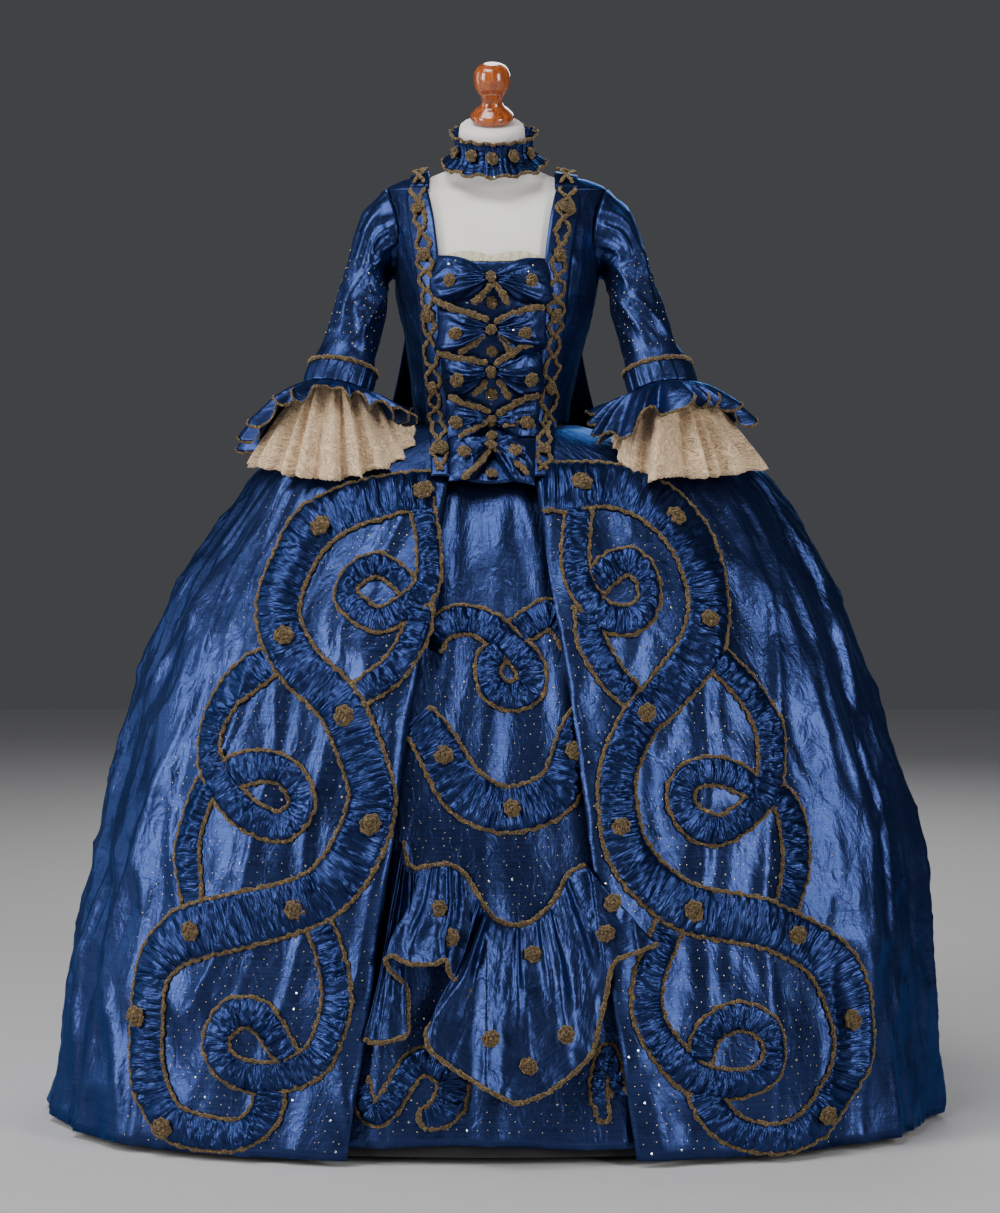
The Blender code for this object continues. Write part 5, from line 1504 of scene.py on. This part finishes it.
# the choker: a gathered band round the neck, flared at its lower edge and edged with gimp
choker = {
    "centre": (0.0025, -0.004, 1.4420),
    "up": [-0.0235, -0.0180, -0.0110, 0.0040, 0.0150, 0.0210],
    "radius": [0.0745, 0.0690, 0.0605, 0.0565, 0.0590, 0.0625],
    "tilt": 0.33,
    "gathers": 34,
    "rosettes": [(268, 0.000), (239, 0.002), (298, 0.002), (330, 0.000), (205, 0.000)],   # angle and height
    "rosettesOut": 0.0640,
}


def makeChoker():
    turn = np.linspace(0, math.tau, 341)
    v = np.linspace(0, 1, 16)[:, None]
    upAt, radiusAt = readCurve(range(6), choker["up"]), readCurve(range(6), choker["radius"])
    warp = turn + 0.06 * np.sin(turn * 5 + 1) + 0.03 * np.sin(turn * 11)
    phase = warp * choker["gathers"] / 2
    edge = np.abs(v - 0.45) * 2
    swing = np.abs(np.sin(phase + 0.5 * v)) ** 0.7 - 0.5
    deep = 0.0042 * (0.55 + 0.65 * edge) * (1 + 0.3 * np.sin(turn * 7))
    radius = radiusAt(v * 5) + deep * swing + 0.0010 * creased(turn * 0.06, v * 0.04, 0.010, 171)
    radius = radius + 0.0030 * np.clip(np.sin(turn * 9 + 1.3), -0.4, 1) * (1 - v) ** 2
    up = upAt(v * 5) + 0.0024 * np.sin(turn * 13 + 0.6) * (1 - v) ** 2 + 0.0014 * np.sin(turn * 17) * v**3
    x, y = radius * np.cos(turn), radius * np.sin(turn)
    grid = np.stack([x, y, up + choker["tilt"] * y], axis=-1) + np.array(choker["centre"])
    makePanel("chokerSilk", grid, ruchedSilk, 0.0010, (0.55, 0.05), "ruched_silk", "neck_ruffle", ring=True,
              flat=(0.60, 0.055), held="gathered", rests_on=["formBody"])
    edges = ((grid[0], 0.0052, 180), (grid[-1], 0.0046, 181))
    braids = [ringBraid("edge", ring, 0.0008, width, seed) for ring, width, seed in edges]
    place(joined("chokerBraid", braids), "ruched_silk")
    places = []
    for angle, height in choker["rosettes"]:
        at = math.radians(angle)
        x, y = choker["rosettesOut"] * math.cos(at), choker["rosettesOut"] * math.sin(at)
        point = np.array([x, y, height + choker["tilt"] * y]) + np.array(choker["centre"])
        places.append((point, (math.cos(at), math.sin(at), 0.15), 0.72, angle * 0.1))
    sewRosettes("chokerRosettes", places)


makeChoker()
print("choker made")

# dress form: hips, waist and bust as one turned-up body, then the neck with its flat top
formShape = {
    "behind": 0.0075,   # how far it lies behind the bodice
    "hips": [(0.720, 0.128, 0.082, 0.092, 0.010), (0.735, 0.142, 0.094, 0.104, 0.010),
             (0.830, 0.160, 0.108, 0.122, 0.008), (0.930, 0.138, 0.100, 0.104, 0.004),
             (0.985, 0.112, 0.096, 0.086, 0.000)],
    "neck": [(1.404, 0.076, 0.044, 0.050, 0.012, 0.10), (1.418, 0.061, 0.047, 0.049, 0.008, 0.20),
             (1.436, 0.052, 0.048, 0.048, 0.001, 0.30), (1.458, 0.0495, 0.048, 0.048, -0.007, 0.36),
             (1.472, 0.048, 0.047, 0.047, -0.012, 0.36), (1.477, 0.043, 0.042, 0.042, -0.013, 0.36)],
    "knob": [(0.0140, 0.0890), (0.0205, 0.0855), (0.0250, 0.0790), (0.0275, 0.0690), (0.0268, 0.0600),
             (0.0235, 0.0500), (0.0185, 0.0420), (0.0158, 0.0360), (0.0155, 0.0325), (0.0180, 0.0265),
             (0.0235, 0.0218), (0.0275, 0.0180), (0.0312, 0.0140), (0.0322, 0.0110), (0.0315, 0.0050),
             (0.0300, 0.0040), (0.0292, 0.0034), (0.0288, 0.0024), (0.0270, 0.0012)],
    "neckTop": (0.0, -0.013, 1.4775),
    "lean": 0.36,
}


def closedTube(name, rings, material):
    # rings from bottom to top, closed to a point at both ends
    rings = np.array(rings)
    low, high = rings[0].mean(axis=0), rings[-1].mean(axis=0)
    rows = [np.tile(low, (rings.shape[1], 1)), (rings[0] * 0.6 + low * 0.4), *rings,
            (rings[-1] * 0.6 + high * 0.4), np.tile(high, (rings.shape[1], 1))]
    return clothGrid(name, np.array(rows), material, ring=True, size=(1, 1))


def makeForm():
    turn = np.linspace(0, math.tau, 73) + math.pi
    across, along = np.sin(turn), np.cos(turn)
    rows = [(*row, 0.0, 2.1) for row in formShape["hips"]]
    inward = formShape["behind"]
    for z in np.linspace(1.005, 1.385, 40):
        rows.append((z, float(bodiceHalf(z)) - inward, float(bodiceFrontDepth(z)) - inward,
                     float(bodiceBackDepth(z)) - inward, float(bodiceMiddle(z)), 0.0, 2.3))
    rows.append((1.3925, 0.119, 0.034, 0.057, 0.012, 0.03, 2.2))
    rows += [(*row, 2.0) for row in formShape["neck"]]
    table = np.array(rows)
    heights = np.arange(len(rows))
    fine = np.linspace(0, len(rows) - 1, 76)
    smooth = [readCurve(heights, table[:, i])(fine) for i in range(7)]
    rings = []
    for z, half, front, back, middle, lean, fullness in zip(*smooth):
        x = half * power(across, 2 / fullness)
        y = -np.where(along > 0, front, back) * power(along, 2 / fullness)
        rings.append(np.stack([x, middle + y, z + lean * y], axis=1))
    rings = np.array(rings)[:, ::-1]
    place(closedTube("formBody", rings, formCloth), "form_cloth", "dress_form")

    turn = np.linspace(0, math.tau, 41)
    tilt = math.atan(formShape["lean"])
    rings = []
    profile = np.array(formShape["knob"])[::-1]
    steps = np.linspace(0, len(profile) - 1, 60)
    radius = readCurve(range(len(profile)), profile[:, 0])(steps)
    height = readCurve(range(len(profile)), profile[:, 1])(steps)
    for r, h in zip(radius, height):
        y = r * np.sin(turn)
        across, up = y * math.cos(tilt) - h * math.sin(tilt), y * math.sin(tilt) + h * math.cos(tilt)
        rings.append(np.stack([r * np.cos(turn), across, up], axis=1) + np.array(formShape["neckTop"]))
    place(closedTube("knobWood", rings, varnishedWood), "varnished_wood", "neck_knob")
    for node in ("stand_pole", "stand_base"):
        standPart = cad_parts[node]
        standPart.data.materials.clear()
        standPart.data.materials.append(paintedStand)


makeForm()
print("form made")

# sequins in staggered rows between the bands, and a few larger stones
sequins = {"apart": 0.0150, "radius": 0.0010, "height": 0.0006, "clear": 0.0055,
           "reach": [(0.00, 0.520), (0.25, 0.515), (0.50, 0.470), (0.70, 0.390), (0.93, 0.330)]}
sequinReach = readCurve(*zip(*sequins["reach"]))
# stones on the bodice, across and up; those on the skirts and sleeves fall at random
stones = {"share": 0.035, "radius": 0.0019, "height": 0.0014,
          "bodice": [(-0.063, 1.264), (-0.053, 1.268), (0.060, 1.262), (0.054, 1.253), (0.004, 1.246),
                     (-0.036, 1.208), (0.023, 1.171), (0.032, 1.168), (-0.004, 1.070), (0.006, 1.078),
                     (0.019, 1.110), (-0.001, 1.060), (0.004, 1.392)]}


def sprinkled(name, points, normals, radius, height, material, sides=4):
    # one low cone repeated, then each copy laid on its place
    deselectAll()
    bpy.ops.mesh.primitive_cone_add(vertices=sides, radius1=radius, radius2=0, depth=height)
    obj = bpy.context.object
    obj.name = obj.data.name = name
    source = np.array([v.co for v in obj.data.vertices]) + np.array([0, 0, height / 2])
    many = obj.modifiers.new("many", "ARRAY")
    many.fit_type, many.count = "FIXED_COUNT", len(points)
    bpy.ops.object.modifier_apply(modifier=many.name)
    side = unit(np.cross(normals, (0.0, 0.3, 1.0)))
    other = np.cross(normals, side)
    axes = np.stack([side, other, normals], axis=1)
    co = np.einsum("vk,nkc->nvc", source, axes) + points[:, None]
    obj.data.vertices.foreach_set("co", co.astype(np.float32).ravel())
    obj.data.update()
    obj.data.materials.clear()
    obj.data.materials.append(material)
    place(obj, "blue_silk")


def staggered(low, high, across, seed):
    # rows of places, every other row set over by half a step, and none quite even
    rng = np.random.default_rng(seed)
    step = sequins["apart"]
    x, z = np.meshgrid(np.arange(-across, across, step), np.arange(low, high, step * 0.87))
    x = x + step / 2 * (np.arange(len(x))[:, None] % 2)
    spots = np.stack([x.ravel(), z.ravel()], axis=1)
    return (spots + rng.normal(0, 0.0022, spots.shape))[rng.random(len(spots)) < 0.85]


def clearOf(spots, trims):
    # the places that no ruched band covers
    keep = np.ones(len(spots), bool)
    for piece in trims:
        if piece == "rosettes":
            continue
        line = smoothLine(trims[piece], 0.008)
        away = np.hypot(spots[:, None, 0] - line[None, :, 0], spots[:, None, 1] - line[None, :, 1])
        keep &= (away > line[None, :, 2] / 2 + sequins["clear"]).all(axis=1)
    return spots[keep]


def settled(surface, spots, lift):
    x, z = spots.T
    point = surface(x, z, np.full(len(x), lift))
    return point, unit(surface(x, z, np.full(len(x), lift + 0.004)) - point)


def sewnOn(name, point, normal, stonesSoFar):
    # sequins, with a few stones in place of some
    rng = np.random.default_rng(len(point))
    stone = rng.random(len(point)) < stones["share"]
    sprinkled(name, point[~stone], normal[~stone], sequins["radius"], sequins["height"], sequinGold)
    stonesSoFar.append((point[stone], normal[stone]))


def makeSequins():
    sewn = []
    scatter = staggered(0.022, 0.925, 0.53, 71)
    scatter = scatter[np.abs(scatter[:, 0]) < sequinReach(scatter[:, 1])]
    for side, sign in (("right", 1), ("left", -1)):
        spots = scatter[sign * scatter[:, 0] > openingHalf(scatter[:, 1]) + 0.006]
        sewnOn(f"robeSequins_{side}", *settled(onRobe, clearOf(spots, frontScrolls[side]), 0.0002), sewn)

        turn, v = staggered(0.02, 0.150, 0.14, 74 + sign).T
        turn, v = 1.5 * math.pi + turn / 0.050, v / 0.235
        point = sleevePoint(turn, v, sign, sleeveLift(turn, v, side) + 0.0002)
        over = sleevePoint(turn, v, sign, sleeveLift(turn, v, side) + 0.0042)
        sewnOn(f"sleeveSequins_{side}", point, unit(over - point), sewn)

    spots = staggered(0.05, 0.76, 0.17, 78)
    spots = spots[np.abs(spots[:, 0]) < openingHalf(spots[:, 1]) - 0.006]
    rows = np.array(flounce["rows"])
    top = np.interp(spots[:, 0], rows[:, 1], rows[:, 2])
    hem = np.interp(spots[:, 0], rows[12:24, 3], rows[12:24, 4])
    spots = spots[(spots[:, 1] > top + 0.006) | (spots[:, 1] < hem - 0.012)]
    sewnOn("petticoatSequins", *settled(onPetticoat, clearOf(spots, petticoatTrims), 0.0002), sewn)

    # on the bodice each is dropped straight back onto whatever it meets first
    sight = bpy.context.evaluated_depsgraph_get()
    for x, z in stones["bodice"]:
        met, point, normal, _, _, _ = bpy.context.scene.ray_cast(sight, (x, -2.0, z), (0, 1, 0))
        if met and point.y < 0:
            normal = normal if normal.y < 0 else -normal
            sewn.append((np.array([point]), np.array([(Vector((0, -1, 0.1)) + normal).normalized()])))
    point, normal = (np.concatenate(part) for part in zip(*sewn))
    sprinkled("stonesSewnOn", point, normal, stones["radius"], stones["height"], rhinestone, 8)


makeSequins()
bpy.data.objects.remove(rosettePattern)
print("sequins made")

# floor, lights and camera
studio = {
    "floorSize": 14.0,
    "floorColour": (0.50, 0.50, 0.51),
    "world": (0.060, 0.062, 0.067),
    "lights": [("keyLeft", (-3.7, -2.5, 1.9), (1.3, 3.0), 160, (1.0, 0.99, 0.97)),
               ("keyRight", (2.9, -3.1, 1.7), (0.9, 2.6), 114, (1.0, 0.99, 0.97)),
               ("top", (-0.9, -1.3, 3.9), (2.0, 1.6), 92, (1.0, 1.0, 1.0)),
               ("sideLeft", (-3.6, 0.7, 1.6), (1.0, 2.8), 26, (1.0, 1.0, 1.0)),
               ("behind", (0.8, 3.6, 3.0), (2.0, 2.0), 60, (1.0, 1.0, 1.0))],
    "aim": (0.0, 0.0, 0.75),
    "eye": (0.012, -5.2, 1.05),
    "tip": 3.227,
    "lens": 102.8953,
}


def makeStudio():
    deselectAll()
    bpy.ops.mesh.primitive_grid_add(x_subdivisions=2, y_subdivisions=2, size=studio["floorSize"],
                                    location=(0, 0, -0.0008))
    floor = bpy.context.object
    floor.name = "studioFloor"
    material, tree, shader, coordinates = startMaterial("floorPaper", Roughness=0.85)
    pale = studio["floorColour"]
    colourInto(tree, shader, noiseNode(tree, coordinates["Object"], 30, 3, 0.5),
               [(0.3, tuple(c * 0.97 for c in pale)), (0.7, pale)])
    floor.data.materials.append(material)

    world = bpy.data.worlds.new("studioWorld")
    bpy.context.scene.world = world
    world.use_nodes = True
    world.node_tree.nodes["Background"].inputs["Color"].default_value = (*studio["world"], 1)

    for name, at, size, watts, colour in studio["lights"]:
        bpy.ops.object.light_add(type="AREA", location=at)
        lamp = bpy.context.object
        lamp.name = name
        lamp.data.shape = "RECTANGLE"
        lamp.data.size, lamp.data.size_y = size
        lamp.data.energy = watts
        lamp.data.color = colour
        lamp.rotation_euler = (Vector(studio["aim"]) - Vector(at)).to_track_quat("-Z", "Y").to_euler()

    bpy.ops.object.camera_add(location=studio["eye"], rotation=(math.radians(90 - studio["tip"]), 0, 0))
    camera = bpy.context.object
    camera.data.lens = studio["lens"]
    camera.data.sensor_width = 36
    bpy.context.scene.camera = camera


makeStudio()
print("studio made")

bpy.context.view_layer.update()
